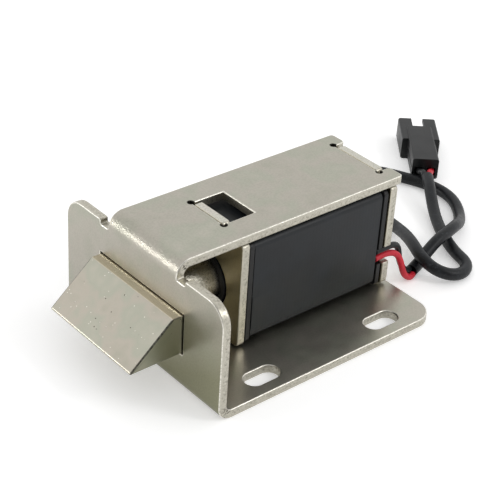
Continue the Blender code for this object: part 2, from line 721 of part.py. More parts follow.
# The sleeve's way over the floor, in mm behind the rear yoke plate and across, to the connector.
# The third number is a height in steps: 0 lies on the floor and 1 passes over another stretch of it.
SLEEVE_ROUTE = (
    (9.2, -10.6, 0.0),
    (12.6, -9.4, 0.0),
    (16.2, -8.4, 0.35),
    (20.2, -7.8, 0.9),
    (24.0, -7.1, 1.04),
    (27.6, -6.0, 0.96),
    (31.2, -4.2, 0.58),
    (34.6, -1.9, 0.18),
    (37.8, 1.2, 0.0),
    (40.9, 5.8, 0.0),
    (42.2, 11.0, 0.0),
    (41.4, 16.6, 0.0),
    (39.2, 21.8, 0.0),
    (36.4, 27.0, 0.0),
    (31.6, 31.2, 0.0),
    (25.6, 30.6, 0.0),
    (21.8, 25.6, 0.0),
    (21.0, 18.4, 0.0),
    (20.4, 10.8, 0.05),
    (18.8, 3.8, 0.3),
    (16.0, -2.0, 0.8),
    (13.2, -7.2, 1.06),
    (11.7, -10.9, 0.96),
    (11.9, -14.7, 0.62),
    (14.6, -17.6, 0.22),
    (18.7, -18.1, 0.02),
    (22.0, -15.8, 0.0),
    (23.2, -12.4, 0.0),
    (24.4, -9.0, 0.0),
    (26.4, -4.9, 0.0),
    (29.4, 0.2, 0.05),
    (33.4, 6.0, 0.35),
    (37.0, 10.8, 0.85),
    (40.2, 14.9, 1.04),
)

# Each lead's fall from the rear yoke plate to the sleeve's mouth: mm behind the plate, mm aside from
# where it leaves, and the share of its drop that is still to come. Its end lies beside the other's.
RED_LEAD_FALL = ((0.75, 0.0, 1.0), (3.4, -0.5, 0.85), (4.4, -1.3, 0.5), (5.6, -1.5, 0.18))
BLACK_LEAD_FALL = ((0.75, 0.0, 1.0), (3.8, 0.4, 0.86), (5.1, 0.6, 0.52), (6.3, 0.5, 0.18))
LEAD_END_ASIDE = 0.55 * MM
LEAD_END_STEP = 0.6 * MM


def sleeve_points():
    return [(REAR_FACE_X + x * MM, y * MM, SLEEVE_REST + step * SLEEVE_STEP) for x, y, step in SLEEVE_ROUTE]


def leads():
    """Two leads from the coil's rear cheek down to the mouth of the sleeve, and the sleeve itself."""
    route = sleeve_points()
    tube("lead_sleeve", smooth_route(route, SLEEVE_POINT_SPACING), SLEEVE_DIAMETER, SLEEVE_BLACK, 2)
    mouth = Vector(route[0])
    up = Vector((0, 0, 1))
    ahead = (Vector(route[1]) - mouth).normalized()
    left = up.cross(ahead)
    for name, finish, height, side, fall in (
        ("red_lead", RED_VINYL, RED_LEAD_HEIGHT, -1, RED_LEAD_FALL),
        ("black_lead", BLACK_VINYL, RED_LEAD_HEIGHT + LEAD_PITCH, 1, BLACK_LEAD_FALL),
    ):
        end = mouth - ahead * SEAT_GAP + side * (left * LEAD_END_ASIDE + up * LEAD_END_STEP)
        points = [(WRAP_END_X + SEAT_GAP, -LEAD_OFFSET, height)]
        for behind, aside, share in fall:
            z = end.z + share * (height - end.z)
            points.append((REAR_FACE_X + behind * MM, aside * MM - LEAD_OFFSET, z))
        points += [tuple(end - ahead * LEAD_DIAMETER), tuple(end)]
        tube(name, smooth_route(points, LEAD_POINT_SPACING), LEAD_DIAMETER, finish, 2)


def lead_tails():
    """The short stretch of each lead between the end of the sleeve and its contact."""
    before, end = [Vector(point) for point in sleeve_points()[-2:]]
    seat = Matrix.Translation(CONNECTOR_PLACE) @ Matrix.Rotation(CONNECTOR_ANGLE, 4, "Z")
    ahead = (end - before).normalized()
    left = Vector((0, 0, 1)).cross(ahead).normalized()
    for name, side, finish in (("red_lead_tail", -1, RED_VINYL), ("black_lead_tail", 1, BLACK_VINYL)):
        start = end + ahead * SEAT_GAP + left * side * (LEAD_DIAMETER / 2 + FLOOR_GAP)
        across = side * CONTACT_PITCH / 2
        points = [
            start,
            start + ahead * LEAD_DIAMETER,
            seat @ Vector((0.0, across, HEAD_HEIGHT / 2)),
            seat @ Vector((CONTACT_START - SEAT_GAP, across, HEAD_HEIGHT / 2)),
        ]
        route = smooth_route([tuple(point) for point in points], LEAD_POINT_SPACING)
        tube(name, route, LEAD_DIAMETER, finish, 2)


def box(name, x, y, z, parent):
    """Cutter or lump of a housing, given as ranges along its own axes."""
    outline = [(x[0], y[0]), (x[1], y[0]), (x[1], y[1]), (x[0], y[1])]
    return add(name, prism(name, outline, z[0], z[1], ALONG_Z), parent=parent)


def connector(seat):
    """Two-way housing: a wide head with the mouth and latch window, a raised rib, and a narrow tail."""
    head_start = TAIL_LENGTH
    end = TAIL_LENGTH + HEAD_LENGTH
    top = HEAD_HEIGHT + RIB_HEIGHT
    head = rounded(rectangle(HEAD_WIDTH, 0.0, HEAD_HEIGHT, HOUSING_CORNER))
    body = add("connector_housing", prism("head", head, head_start, end, ALONG_X), HOUSING_BLACK, parent=seat)
    latch_x = end - LATCH_LENGTH
    tail = rounded(rectangle(TAIL_WIDTH, TAIL_RISE, top, HOUSING_CORNER))
    tail_body = add("connector_tail", prism("tail", tail, 0.0, latch_x - HOUSING_WALL, ALONG_X), parent=seat)
    combine(body, [tail_body], "UNION")
    middle = HEAD_HEIGHT / 2
    mouth_half = HEAD_WIDTH / 2 - HOUSING_WALL
    latch_half = LATCH_WIDTH / 2
    channel = CHANNEL_SIZE / 2
    beyond = end + SHEET
    mouth_x = end - MOUTH_DEPTH
    mouth_z = (HOUSING_WALL, HEAD_HEIGHT - HOUSING_WALL)
    tools = [
        box("connector_mouth", (mouth_x, beyond), (-mouth_half, mouth_half), mouth_z, seat),
        box("connector_latch", (latch_x, beyond), (-latch_half, latch_half), (middle, top + SHEET), seat),
    ]
    for side in (-1, 1):
        centre = side * CONTACT_PITCH / 2
        across = (centre - channel, centre + channel)
        height = (middle - channel, middle + channel)
        tools.append(box(f"connector_channel_{side}", (-SHEET, mouth_x + SHEET), across, height, seat))
    combine(body, tools)
    soften(body, HOUSING_EDGE, 1)
    shaded(body)


def contacts(seat):
    """Crimped barrel of each contact in its channel, and its pin in the mouth."""
    radius = CHANNEL_SIZE / 2 - CONTACT_CLEARANCE
    pin = CONTACT_PIN_DIAMETER / 2
    pin_end = CONTACT_BODY_LENGTH + CONTACT_PIN_LENGTH
    profile = [
        (0.0, 0.0),
        (0.0, radius),
        (CONTACT_BODY_LENGTH, radius),
        (CONTACT_BODY_LENGTH, pin),
        (pin_end - 2 * pin, pin),
        (pin_end, pin / 2),
        (pin_end, 0.0),
    ]
    for name, side in (("red_contact", -1), ("black_contact", 1)):
        place = (CONTACT_START, side * CONTACT_PITCH / 2, HEAD_HEIGHT / 2)
        add(name, turned(name, profile, SMALL_SIDES), TIN, place, seat)


clear_scene()
mounting_bracket()
yoke_plates()
bobbin()
coil()
fixed_core()
bolt_slide = add("bolt_slide", None, place=(FRONT_X, 0, AXIS_HEIGHT))
latch_bolt(bolt_slide)
plunger(bolt_slide)
bolt_pin(bolt_slide)
return_spring()
leads()
connector_seat = add("connector_seat", None, place=CONNECTOR_PLACE)
connector_seat.rotation_euler = (0, 0, CONNECTOR_ANGLE)
connector(connector_seat)
contacts(connector_seat)
lead_tails()
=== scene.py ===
"""Looks of the electromagnetic cabinet lock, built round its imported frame. Metres, +Z up.

The sections follow the lock as it is put together: folded bracket, yoke plates, coil, core, bolt,
spring, leads and connector. The table, the lamps and the camera come last.
"""

import functools
import math

import bmesh
import bpy
import numpy as np
from mathutils import Matrix, Vector


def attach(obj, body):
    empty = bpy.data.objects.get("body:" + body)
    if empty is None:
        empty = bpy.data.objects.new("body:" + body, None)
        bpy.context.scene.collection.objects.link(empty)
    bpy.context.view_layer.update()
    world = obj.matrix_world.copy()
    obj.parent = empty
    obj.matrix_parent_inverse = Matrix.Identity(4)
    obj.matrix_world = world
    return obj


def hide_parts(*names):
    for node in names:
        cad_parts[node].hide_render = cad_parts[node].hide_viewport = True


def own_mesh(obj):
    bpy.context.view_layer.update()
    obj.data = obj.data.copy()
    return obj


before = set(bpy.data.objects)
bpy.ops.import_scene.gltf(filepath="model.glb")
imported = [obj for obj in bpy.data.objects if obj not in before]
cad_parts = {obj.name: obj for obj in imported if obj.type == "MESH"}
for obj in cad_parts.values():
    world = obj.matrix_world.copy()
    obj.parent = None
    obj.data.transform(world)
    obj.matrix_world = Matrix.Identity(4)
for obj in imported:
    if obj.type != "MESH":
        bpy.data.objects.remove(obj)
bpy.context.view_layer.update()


# Mounting bracket: one 2 mm sheet of cold-rolled steel, blanked and pierced flat, tumbled so that
# its edges lose their burr, folded twice into a C and then nickel plated. Four screws through the
# oblong slots of its base flange hold the lock to the cabinet.

MM = 0.001
SHEET = 2.0 * MM
FRAME_HEIGHT = 29.7 * MM
FLANGE_WIDTH = 52.8 * MM
FLANGE_LENGTH = 61.7 * MM
FLANGE_CORNER = 5.0 * MM
TOP_WIDTH = 23.0 * MM
TOP_LENGTH = 62.0 * MM
TOP_CORNER = 1.0 * MM
BEND_RADIUS = 3.5 * MM
BEND_STEPS = 24
EAR_HEIGHT = 27.0 * MM
EAR_CORNER = 5.0 * MM
RELIEF_WIDTH = 2.7 * MM
RELIEF_DEPTH = 1.1 * MM
RELIEF_CORNER = 0.4 * MM
SLOT_WIDTH = 4.5 * MM
SLOT_LENGTH = 8.6 * MM
SLOT_DEPTHS = (15.4 * MM, 49.5 * MM)
SLOT_OFFSET = 21.3 * MM
WINDOW_DEPTHS = (16.6 * MM, 25.0 * MM)
TAB_HOLE_DEPTHS = (16.6 * MM, 19.0 * MM)
TAB_HOLE_WIDTH = 10.3 * MM
REAR_NOTCH_DEPTH = 58.55 * MM
REAR_NOTCH_WIDTH = 14.2 * MM
MOUTH_CORNER = 1.0 * MM
RELIEF_HOLE = 0.6 * MM
RELIEF_SIDES = 20
RELIEF_SHIFT = 0.3 * MM
BOLT_HOLE_WIDTH = 28.6 * MM
BOLT_HOLE_HEIGHTS = (9.45 * MM, 19.15 * MM)
BOLT_HOLE_CORNER = 0.25 * MM
SHEET_EDGE = 0.25 * MM
FRONT_X = -24.75 * MM

# Points nearer than this are one point, or else slivers between them shade wrongly.
NEAR = 0.01 * MM
# Corners of a face differ less than this in height where it is level.
LEVEL = 0.001 * MM
# Cosines between two faces that face the same way, and roughly the same way
SAME_WAY = 0.999
ROUGHLY = 0.5
# An arc's longest step, and the angle from which an edge is sharp
ARC_STEP = math.radians(9)
CREASE = math.radians(32)

# The strip's bends and flats, measured along the blank from the flange's rear edge
BEND_MIDDLE = BEND_RADIUS - SHEET / 2
BEND_RUN = math.pi / 2 * BEND_MIDDLE
LOWER_BEND = FLANGE_LENGTH - BEND_RADIUS
FRONT_START = LOWER_BEND + BEND_RUN
UPPER_BEND = FRONT_START + FRAME_HEIGHT - 2 * BEND_RADIUS
TOP_START = UPPER_BEND + BEND_RUN
BLANK_END = TOP_START + TOP_LENGTH - BEND_RADIUS

# How an outline's two directions and its height become X, Y and Z, here with the height along Z
ALONG_Z = Matrix.Identity(3)


def linear(hex_code):
    """sRGB hex, such as B9B5A8, as the linear colour that Blender's sockets take."""
    parts = [int(hex_code[i : i + 2], 16) / 255 for i in (0, 2, 4)]
    return (*[c / 12.92 if c <= 0.04045 else ((c + 0.055) / 1.055) ** 2.4 for c in parts], 1.0)


def connect(node, sockets):
    """Set a node's inputs, by name or number, to values, outputs, or nodes' first live outputs. A Mix has
    its colours at 6 and 7, and a MapRange its limits at 1 to 4, from low, from high, to low, to high."""
    for name, value in sockets.items():
        if isinstance(value, bpy.types.Node):
            value = next(output for output in value.outputs if output.enabled)
        if isinstance(value, bpy.types.NodeSocket):
            node.id_data.links.new(value, node.inputs[name])
        else:
            node.inputs[name].default_value = value


def add_node(tree, kind, sockets=None, stops=(), **settings):
    """Add a node with its settings and its inputs. Stops are a colour ramp's (position, hex) pairs."""
    made = tree.nodes.new("ShaderNode" + kind)
    for name, value in settings.items():
        setattr(made, name, value)
    connect(made, sockets or {})
    if stops:
        ramp = made.color_ramp.elements
        while len(ramp) < len(stops):
            ramp.new(0.5)
        for element, (position, hex_code) in zip(ramp, stops):
            element.position = position
            element.color = linear(hex_code)
    return made


def new_finish(name, **values):
    """A material with plain values on its shader, what adds a node to it, and the place on the piece."""
    made = bpy.data.materials.new(name)
    made.use_nodes = True
    shader = made.node_tree.nodes["Principled BSDF"]
    connect(shader, {socket.replace("_", " "): value for socket, value in values.items()})
    add = functools.partial(add_node, made.node_tree)
    return made, add, shader, add("TexCoord").outputs["Object"]


def nickel_plate(name, tones, roughness, wear):
    """Satin nickel on rolled sheet: smooth, in faint clouds of pinker and greener grey. It is worn bright
    on the broken edges, and rough as orange peel where the sheet was bent."""
    made, add, shader, place = new_finish(name, Metallic=1.0)
    clouds = add("TexNoise", {"Vector": place, "Scale": 1 / (10 * MM), "Detail": 3.0, "Roughness": 0.5})
    # The real grain is about 0.05 mm and too fine to show, so it is drawn at 0.4 mm.
    grain = add("TexNoise", {"Vector": place, "Scale": 1 / (0.4 * MM), "Detail": 2.0})
    peel = add("TexNoise", {"Vector": place, "Scale": 1 / (3 * MM), "Detail": 2.0})
    tone = add("ValToRGB", {"Fac": clouds}, tones)
    # Painted shade: the front plate turns darker and greener towards its foot, standing in for the darker
    # floor that it reflects there.
    front = add("Math", {0: add("SeparateXYZ", {0: place}), 1: FRONT_X + SHEET / 4}, operation="LESS_THAN")
    slanted_height = add("VectorMath", {0: place, 1: (0, 0.4, 1)}, operation="DOT_PRODUCT")
    foot = add("MapRange", {"Value": slanted_height, 1: 0.0, 2: 16 * MM, 3: 1.0, 4: 0.0})
    painted_foot_shade = add("Math", {0: front, 1: foot}, operation="MULTIPLY")
    toned = add("Mix", {0: painted_foot_shade, 6: tone, 7: linear("908F76")}, data_type="RGBA")
    speck = add("ValToRGB", {"Fac": grain}, ((0.34, "C8C8C8"), (0.60, "FFFFFF")))
    base = add("Mix", {0: 0.2, 6: toned, 7: speck}, data_type="RGBA", blend_type="MULTIPLY")
    worn = add("Attribute", attribute_name="worn").outputs["Fac"]
    paler = add("MapRange", {"Value": grain, 1: 0.35, 2: 0.55, 3: 0.5, 4: 1.0})
    bare = add("Math", {0: worn, 1: paler}, operation="MULTIPLY")
    paled = add("Mix", {0: bare, 6: base, 7: linear(wear)}, data_type="RGBA")
    satin = add("MapRange", {"Value": peel, 1: 0.3, 2: 0.7, 3: roughness - 0.03, 4: roughness + 0.05})
    peeled = add("Bump", {"Height": peel, "Distance": 0.02 * MM, "Strength": 0.15})
    grained = add("Bump", {"Height": grain, "Distance": 0.01 * MM, "Strength": 0.08, "Normal": peeled})
    bent = add("Attribute", attribute_name="bent").outputs["Fac"]
    strain = add("Math", {0: grain, 1: bent}, operation="MULTIPLY")
    strained = add("Bump", {"Height": strain, "Distance": 0.15 * MM, "Strength": 0.8, "Normal": grained})
    connect(shader, {"Base Color": paled, "Roughness": satin, "Normal": strained})
    return made


def sheared_edge():
    """Plated cut face of a stamped sheet: pale, bright where the punch burnished it, and finely flecked
    where the steel tore. The folds' ends are the most torn."""
    made, add, shader, place = new_finish("nickel_over_sheared_steel", Metallic=1.0)
    # Tears are about 0.2 mm apart in real sheet, drawn at 0.45 mm so that they show.
    tears = add("TexNoise", {"Vector": place, "Scale": 1 / (0.45 * MM), "Detail": 3.0, "Roughness": 0.6})
    tones = ((0.27, "5E594C"), (0.37, "A5A194"), (0.48, "B9B5A8"), (0.75, "CFCBBE"))
    flecks = add("ValToRGB", {"Fac": tears}, tones)
    through = add("Attribute", attribute_name="through").outputs["Fac"]
    burnished = add("MapRange", {"Value": through, 1: 0.2, 2: 0.6, 3: 0.15, 4: 0.9})
    face = add("Mix", {0: burnished, 6: flecks, 7: linear("C2BEB1")}, data_type="RGBA")
    bent = add("Attribute", attribute_name="bent").outputs["Fac"]
    split = add("MapRange", {"Value": tears, 1: 0.42, 2: 0.48, 3: 0.8, 4: 0.0})
    cracks = add("Math", {0: split, 1: bent}, operation="MULTIPLY")
    torn = add("Mix", {0: cracks, 6: face, 7: linear("3A372F")}, data_type="RGBA")
    dull = add("MapRange", {"Value": tears, 1: 0.3, 2: 0.7, 3: 0.48, 4: 0.32})
    rough = add("Bump", {"Height": tears, "Distance": 0.06 * MM, "Strength": 0.35})
    connect(shader, {"Base Color": torn, "Roughness": dull, "Normal": rough})
    return made


def dark_small_hole_walls():
    """Walls of the small relief holes: near black, in a few dark brown shades."""
    made, add, shader, place = new_finish("near_black_small_hole_walls", Metallic=1.0, Roughness=0.55)
    dark_marks = add("TexNoise", {"Vector": place, "Scale": 1 / (0.5 * MM), "Detail": 2.0})
    connect(shader, {"Base Color": add("ValToRGB", {"Fac": dark_marks}, ((0.3, "1C1A17"), (0.7, "35322C")))})
    return made


def rounded(corners):
    """Outline through corners of (u, v, radius), with an arc at each corner that has a radius."""
    outline = []
    for index, (u, v, radius) in enumerate(corners):
        corner = Vector((u, v))
        if not radius:
            outline.append(corner)
            continue
        back = (Vector(corners[index - 1][:2]) - corner).normalized()
        ahead = (Vector(corners[(index + 1) % len(corners)][:2]) - corner).normalized()
        half = back.angle(ahead) / 2
        centre = corner + (back + ahead).normalized() * (radius / math.sin(half))
        start = corner + back * (radius / math.tan(half)) - centre
        turn = start.angle_signed(corner + ahead * (radius / math.tan(half)) - centre)
        steps = max(4, round(abs(turn) / ARC_STEP))
        outline += [centre + Matrix.Rotation(-turn * step / steps, 2) @ start for step in range(steps + 1)]
    return outline


def box_outline(u, v, radius=0.0):
    """Outline between the two values of u and the two of v."""
    return rounded([(u[0], v[0], radius), (u[1], v[0], radius), (u[1], v[1], radius), (u[0], v[1], radius)])


def centred(width):
    return -width / 2, width / 2


def circle(radius, sides, centre=(0.0, 0.0)):
    """Round outline. It starts half a side round, so that crossing bores share no corner."""
    angles = [2 * math.pi * (side + 0.5) / sides for side in range(sides)]
    return [Vector((centre[0] + radius * math.cos(a), centre[1] + radius * math.sin(a))) for a in angles]


def as_mesh(bm):
    """Mesh with its faces turned outward, made from the bench's bm, which is then gone."""
    bmesh.ops.recalc_face_normals(bm, faces=bm.faces)
    mesh = bpy.data.meshes.new("piece")
    bm.to_mesh(mesh)
    bm.free()
    return mesh


def prism(outline, low, high, axes):
    """Closed solid: an outline pushed from low to high along the third direction of axes."""
    bm = bmesh.new()
    rim = [bm.verts.new(axes @ Vector((u, v, low))) for u, v in outline]
    swept_part = bmesh.ops.extrude_face_region(bm, geom=[bm.faces.new(rim)])
    moved = [item for item in swept_part["geom"] if isinstance(item, bmesh.types.BMVert)]
    bmesh.ops.translate(bm, verts=moved, vec=axes @ Vector((0, 0, high - low)))
    return as_mesh(bm)


def worked(mesh, weld=(), cut=(), edge=0.0, steps=3):
    """Work a solid: weld lumps to it, cut tools out of it, then break its sharp edges."""
    bench = [bpy.data.objects.new("bench", item) for item in (mesh, *weld, *cut)]
    for item in bench:
        bpy.context.scene.collection.objects.link(item)
    body = bench[0]
    for tool, operation in zip(bench[1:], ["UNION"] * len(weld) + ["DIFFERENCE"] * len(cut)):
        step = body.modifiers.new("tool", "BOOLEAN")
        step.operation = operation
        step.object = tool
    if edge:
        step = body.modifiers.new("edge", "BEVEL")
        step.width = edge
        step.segments = steps
        step.limit_method = "ANGLE"
        step.angle_limit = CREASE
        step.use_clamp_overlap = False
        step.loop_slide = False
        step.face_strength_mode = "FSTR_ALL"
    bpy.context.view_layer.update()
    made = bpy.data.meshes.new_from_object(body.evaluated_get(bpy.context.evaluated_depsgraph_get()))
    for item in bench:
        bpy.data.objects.remove(item)
    return made


def piece(name, mesh, finishes, body, slot, *nodes):
    """Put a finished mesh on its body, in place of the CAD nodes that it stands for."""
    mesh.shade_smooth()
    mesh.set_sharp_from_angle(angle=CREASE)
    for edge in mesh.edges:
        edge.use_edge_sharp = edge.use_edge_sharp or edge.use_seam
    for finish in finishes:
        mesh.materials.append(finish)
    item = bpy.data.objects.new(name, mesh)
    bpy.context.scene.collection.objects.link(item)
    flats = item.modifiers.new("flats_stay_flat", "WEIGHTED_NORMAL")
    flats.keep_sharp = True
    flats.use_face_influence = True
    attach(item, body)
    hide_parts(*nodes)
    return item


def flange_run(depth):
    return FLANGE_LENGTH - depth


def front_run(height):
    return FRONT_START + height - BEND_RADIUS


def top_run(depth):
    return TOP_START + depth - BEND_RADIUS


def blank_outline():
    """Half of the blank from rear edge to rear edge, then the other half the other way."""
    inner = TOP_WIDTH / 2
    outer = inner + RELIEF_WIDTH
    ear_top = front_run(EAR_HEIGHT)
    notch = REAR_NOTCH_WIDTH / 2
    half = [
        (flange_run(REAR_NOTCH_DEPTH), notch, 0.0),
        (0.0, notch, MOUTH_CORNER),
        (0.0, FLANGE_WIDTH / 2, FLANGE_CORNER),
        (ear_top, FLANGE_WIDTH / 2, EAR_CORNER),
        (ear_top, outer, RELIEF_CORNER),
        (ear_top - RELIEF_DEPTH, outer, RELIEF_CORNER),
        (ear_top - RELIEF_DEPTH, inner, RELIEF_CORNER),
        (BLANK_END, inner, TOP_CORNER),
        (BLANK_END, notch, MOUTH_CORNER),
        (top_run(REAR_NOTCH_DEPTH), notch, 0.0),
    ]
    return rounded(half + [(run, -across, radius) for run, across, radius in reversed(half)])


def slot_outline(run, across):
    """Oblong hole with a half circle at each end, lying along the strip."""
    radius = SLOT_WIDTH / 2
    reach = SLOT_LENGTH / 2 - radius
    steps = round(math.pi / ARC_STEP)
    outline = []
    for end in (1, -1):
        for step in range(steps + 1):
            angle = -end * math.pi / 2 + step * math.pi / steps
            u = run + end * reach + radius * math.cos(angle)
            outline.append(Vector((u, across + radius * math.sin(angle))))
    return outline


def relief_places():
    """Where the small round holes lie at the corners that the yoke plates' tabs stand in."""
    corners = ((WINDOW_DEPTHS[0], TAB_HOLE_WIDTH / 2), (REAR_NOTCH_DEPTH, REAR_NOTCH_WIDTH / 2))
    return [
        Vector((top_run(depth), side * (half + RELIEF_SHIFT))) for depth, half in corners for side in (-1, 1)
    ]


def blank_holes():
    centres = [(flange_run(depth), side * SLOT_OFFSET) for depth in SLOT_DEPTHS for side in (-1, 1)]
    bolt_hole = [front_run(height) for height in BOLT_HOLE_HEIGHTS]
    window = [top_run(depth) for depth in WINDOW_DEPTHS]
    tab_hole = [flange_run(depth) for depth in reversed(TAB_HOLE_DEPTHS)]
    return [
        *[slot_outline(*centre) for centre in centres],
        box_outline(bolt_hole, centred(BOLT_HOLE_WIDTH), BOLT_HOLE_CORNER),
        box_outline(window, centred(TAB_HOLE_WIDTH)),
        box_outline(tab_hole, centred(TAB_HOLE_WIDTH)),
        *[circle(RELIEF_HOLE, RELIEF_SIDES, place) for place in relief_places()],
    ]


def fold(point):
    """Move a point of the flat blank to its place in the folded bracket."""
    run, across, out = point
    middle = SHEET / 2
    bend = BEND_MIDDLE + out
    if run <= LOWER_BEND:
        return Vector((FLANGE_LENGTH - run, across, middle - out))
    if run < FRONT_START:
        angle = (run - LOWER_BEND) / BEND_MIDDLE
        return Vector((BEND_RADIUS - bend * math.sin(angle), across, BEND_RADIUS - bend * math.cos(angle)))
    if run <= UPPER_BEND or abs(across) > TOP_WIDTH / 2 + RELIEF_WIDTH / 2:
        return Vector((middle - out, across, BEND_RADIUS + run - FRONT_START))
    if run < TOP_START:
        angle = (run - UPPER_BEND) / BEND_MIDDLE
        height = FRAME_HEIGHT - BEND_RADIUS + bend * math.sin(angle)
        return Vector((BEND_RADIUS - bend * math.cos(angle), across, height))
    return Vector((BEND_RADIUS + run - TOP_START, across, FRAME_HEIGHT - middle + out))


def fill_flats(bm, up):
    """Fill a plate's two flat sides anew with triangles, between their outlines and the holes in them."""
    bmesh.ops.remove_doubles(bm, verts=bm.verts, dist=NEAR)
    for side in (up, -up):
        flats = [face for face in bm.faces if face.normal.dot(side) > SAME_WAY]
        bmesh.ops.delete(bm, geom=flats, context="FACES")
        outlines = [edge for edge in bm.edges if len(edge.link_faces) == 1]
        bmesh.ops.triangle_fill(bm, edges=outlines, normal=side, use_beauty=True)
    bmesh.ops.recalc_face_normals(bm, faces=bm.faces)


def mark_faces(bm, up):
    """Flat faces take the plate's finish, cut ones the sheared finish. The broken edges between are worn,
    and a seam keeps each flat's shading flat up to them."""
    worn = bm.faces.layers.float.new("worn")
    for face in bm.faces:
        levels = [vert.co.dot(up) for vert in face.verts]
        flat = max(levels) - min(levels) < LEVEL
        upward = abs(face.normal.dot(up)) > ROUGHLY
        face.material_index = 0 if flat or upward else 1
        face[worn] = 1.0 if upward and not flat else 0.0
        if flat:
            for edge in face.edges:
                edge.seam = any(other.normal.dot(face.normal) < SAME_WAY for other in edge.link_faces)


def stamped(outline, low, axes, holes):
    """Plate of one sheet's thickness with holes in it, its edges broken and its faces marked."""
    bm = bmesh.new()
    bm.from_mesh(worked(prism(outline, low, low + SHEET, axes), cut=holes, edge=SHEET_EDGE))
    up = axes @ Vector((0, 0, 1))
    fill_flats(bm, up)
    mark_faces(bm, up)
    return bm


def folded_bracket():
    """Stamp the flat blank, then fold it twice."""
    half = SHEET / 2
    holes = [prism(outline, -SHEET, SHEET, ALONG_Z) for outline in blank_holes()]
    bm = stamped(blank_outline(), -half, ALONG_Z, holes)
    for face in bm.faces:
        spot = face.calc_center_median().xy
        in_hole = any((spot - place).length < RELIEF_HOLE + SHEET_EDGE for place in relief_places())
        if in_hole and abs(face.normal.z) < SAME_WAY:
            face.material_index = 2
    bmesh.ops.triangulate(bm, faces=bm.faces)
    for start in (LOWER_BEND, UPPER_BEND):
        for step in range(BEND_STEPS + 1):
            bmesh.ops.bisect_plane(
                bm,
                geom=bm.verts[:] + bm.edges[:] + bm.faces[:],
                dist=NEAR / 5,
                plane_co=(start + BEND_RUN * step / BEND_STEPS, 0, 0),
                plane_no=(1, 0, 0),
            )
    bmesh.ops.remove_doubles(bm, verts=bm.verts, dist=NEAR / 5)
    bmesh.ops.dissolve_degenerate(bm, dist=NEAR / 5, edges=bm.edges)
    through = bm.verts.layers.float.new("through")
    bent = bm.verts.layers.float.new("bent")
    for vert in bm.verts:
        run, across, out = vert.co
        vert[through] = out / half
        for start, reach in ((LOWER_BEND, FLANGE_WIDTH), (UPPER_BEND, TOP_WIDTH / 2)):
            if start < run < start + BEND_RUN and abs(across) < reach + RELIEF_WIDTH / 2:
                vert[bent] = math.sin(math.pi * (run - start) / BEND_RUN)
        vert.co = fold(vert.co) + Vector((FRONT_X, 0, 0))
    return as_mesh(bm)


plate_tones = ((0.30, "ADAB9E"), (0.46, "B5B0A5"), (0.58, "AFAFA1"), (0.75, "B9B5A9"))
plate = nickel_plate("satin_nickel_on_rolled_steel", plate_tones, roughness=0.34, wear="ECE9DF")
cut_face = sheared_edge()
bracket_finishes = [plate, cut_face, dark_small_hole_walls()]
piece("bracket", folded_bracket(), bracket_finishes, "frame", "plated_steel", "mounting_bracket")


# Yoke plates: two flat stampings of the same steel that close the magnet's loop round the coil. Their
# tabs stand in the bracket's window, base hole and rear notches, and are staked there.

AXIS_HEIGHT = 14.3 * MM
FRONT_YOKE_X = -7.95 * MM
REAR_YOKE_X = 34.0 * MM
REAR_FACE_X = 36.0 * MM
YOKE_LOW = 2.5 * MM
YOKE_HIGH = 27.4 * MM
YOKE_TIPS = (0.05 * MM, 29.65 * MM)
YOKE_CORNER = 0.9 * MM
FRONT_TAB_WIDTH = 9.9 * MM
REAR_TAB_WIDTH = 12.9 * MM
COLLAR_HOLE = 6.95 * MM
CORE_HOLE = 4.0 * MM
LEAD_NOTCH_HEIGHTS = (8.1 * MM, 12.2 * MM)
LEAD_NOTCH_Y = -9.2 * MM
LEAD_NOTCH_CORNER = 0.75 * MM
YOKE_HOLE_SIDES = 72
TAB_WEAR = 0.45

ALONG_X = Matrix(((0, 0, 1), (1, 0, 0), (0, 1, 0)))


def lead_notch(start, end):
    """Tool for the notch at the right-hand edge through which both leads pass."""
    low, high = LEAD_NOTCH_HEIGHTS
    inner = [(LEAD_NOTCH_Y, low, LEAD_NOTCH_CORNER), (LEAD_NOTCH_Y, high, LEAD_NOTCH_CORNER)]
    return prism(rounded([(-TOP_WIDTH, low, 0.0), *inner, (-TOP_WIDTH, high, 0.0)]), start, end, ALONG_X)


def yoke_plate(x, tab_width, hole, notches=()):
    """Plate with a tab at the top and one at the bottom, and a round hole on the bolt's axis."""
    tab = tab_width / 2
    half = [
        (tab, YOKE_TIPS[0], 0.0),
        (tab, YOKE_LOW, 0.0),
        (TOP_WIDTH / 2, YOKE_LOW, YOKE_CORNER),
        (TOP_WIDTH / 2, YOKE_HIGH, YOKE_CORNER),
        (tab, YOKE_HIGH, 0.0),
        (tab, YOKE_TIPS[1], YOKE_CORNER),
    ]
    outline = rounded(half + [(-across, height, radius) for across, height, radius in reversed(half)])
    bore = prism(circle(hole, YOKE_HOLE_SIDES, (0.0, AXIS_HEIGHT)), x - SHEET, x + 2 * SHEET, ALONG_X)
    bm = stamped(outline, x, ALONG_X, [bore, *notches])
    worn = bm.faces.layers.float["worn"]
    for face in bm.faces:
        # The punch that stakes the tabs leaves their ends smooth.
        at_tip = not YOKE_LOW - MM < face.calc_center_median().z < YOKE_HIGH + MM
        if at_tip and abs(face.normal.z) > 0.9:
            face.material_index = 2
            face[worn] = TAB_WEAR
    through = bm.verts.layers.float.new("through")
    for vert in bm.verts:
        vert[through] = (x + SHEET / 2 - vert.co.x) / (SHEET / 2)
    return as_mesh(bm)
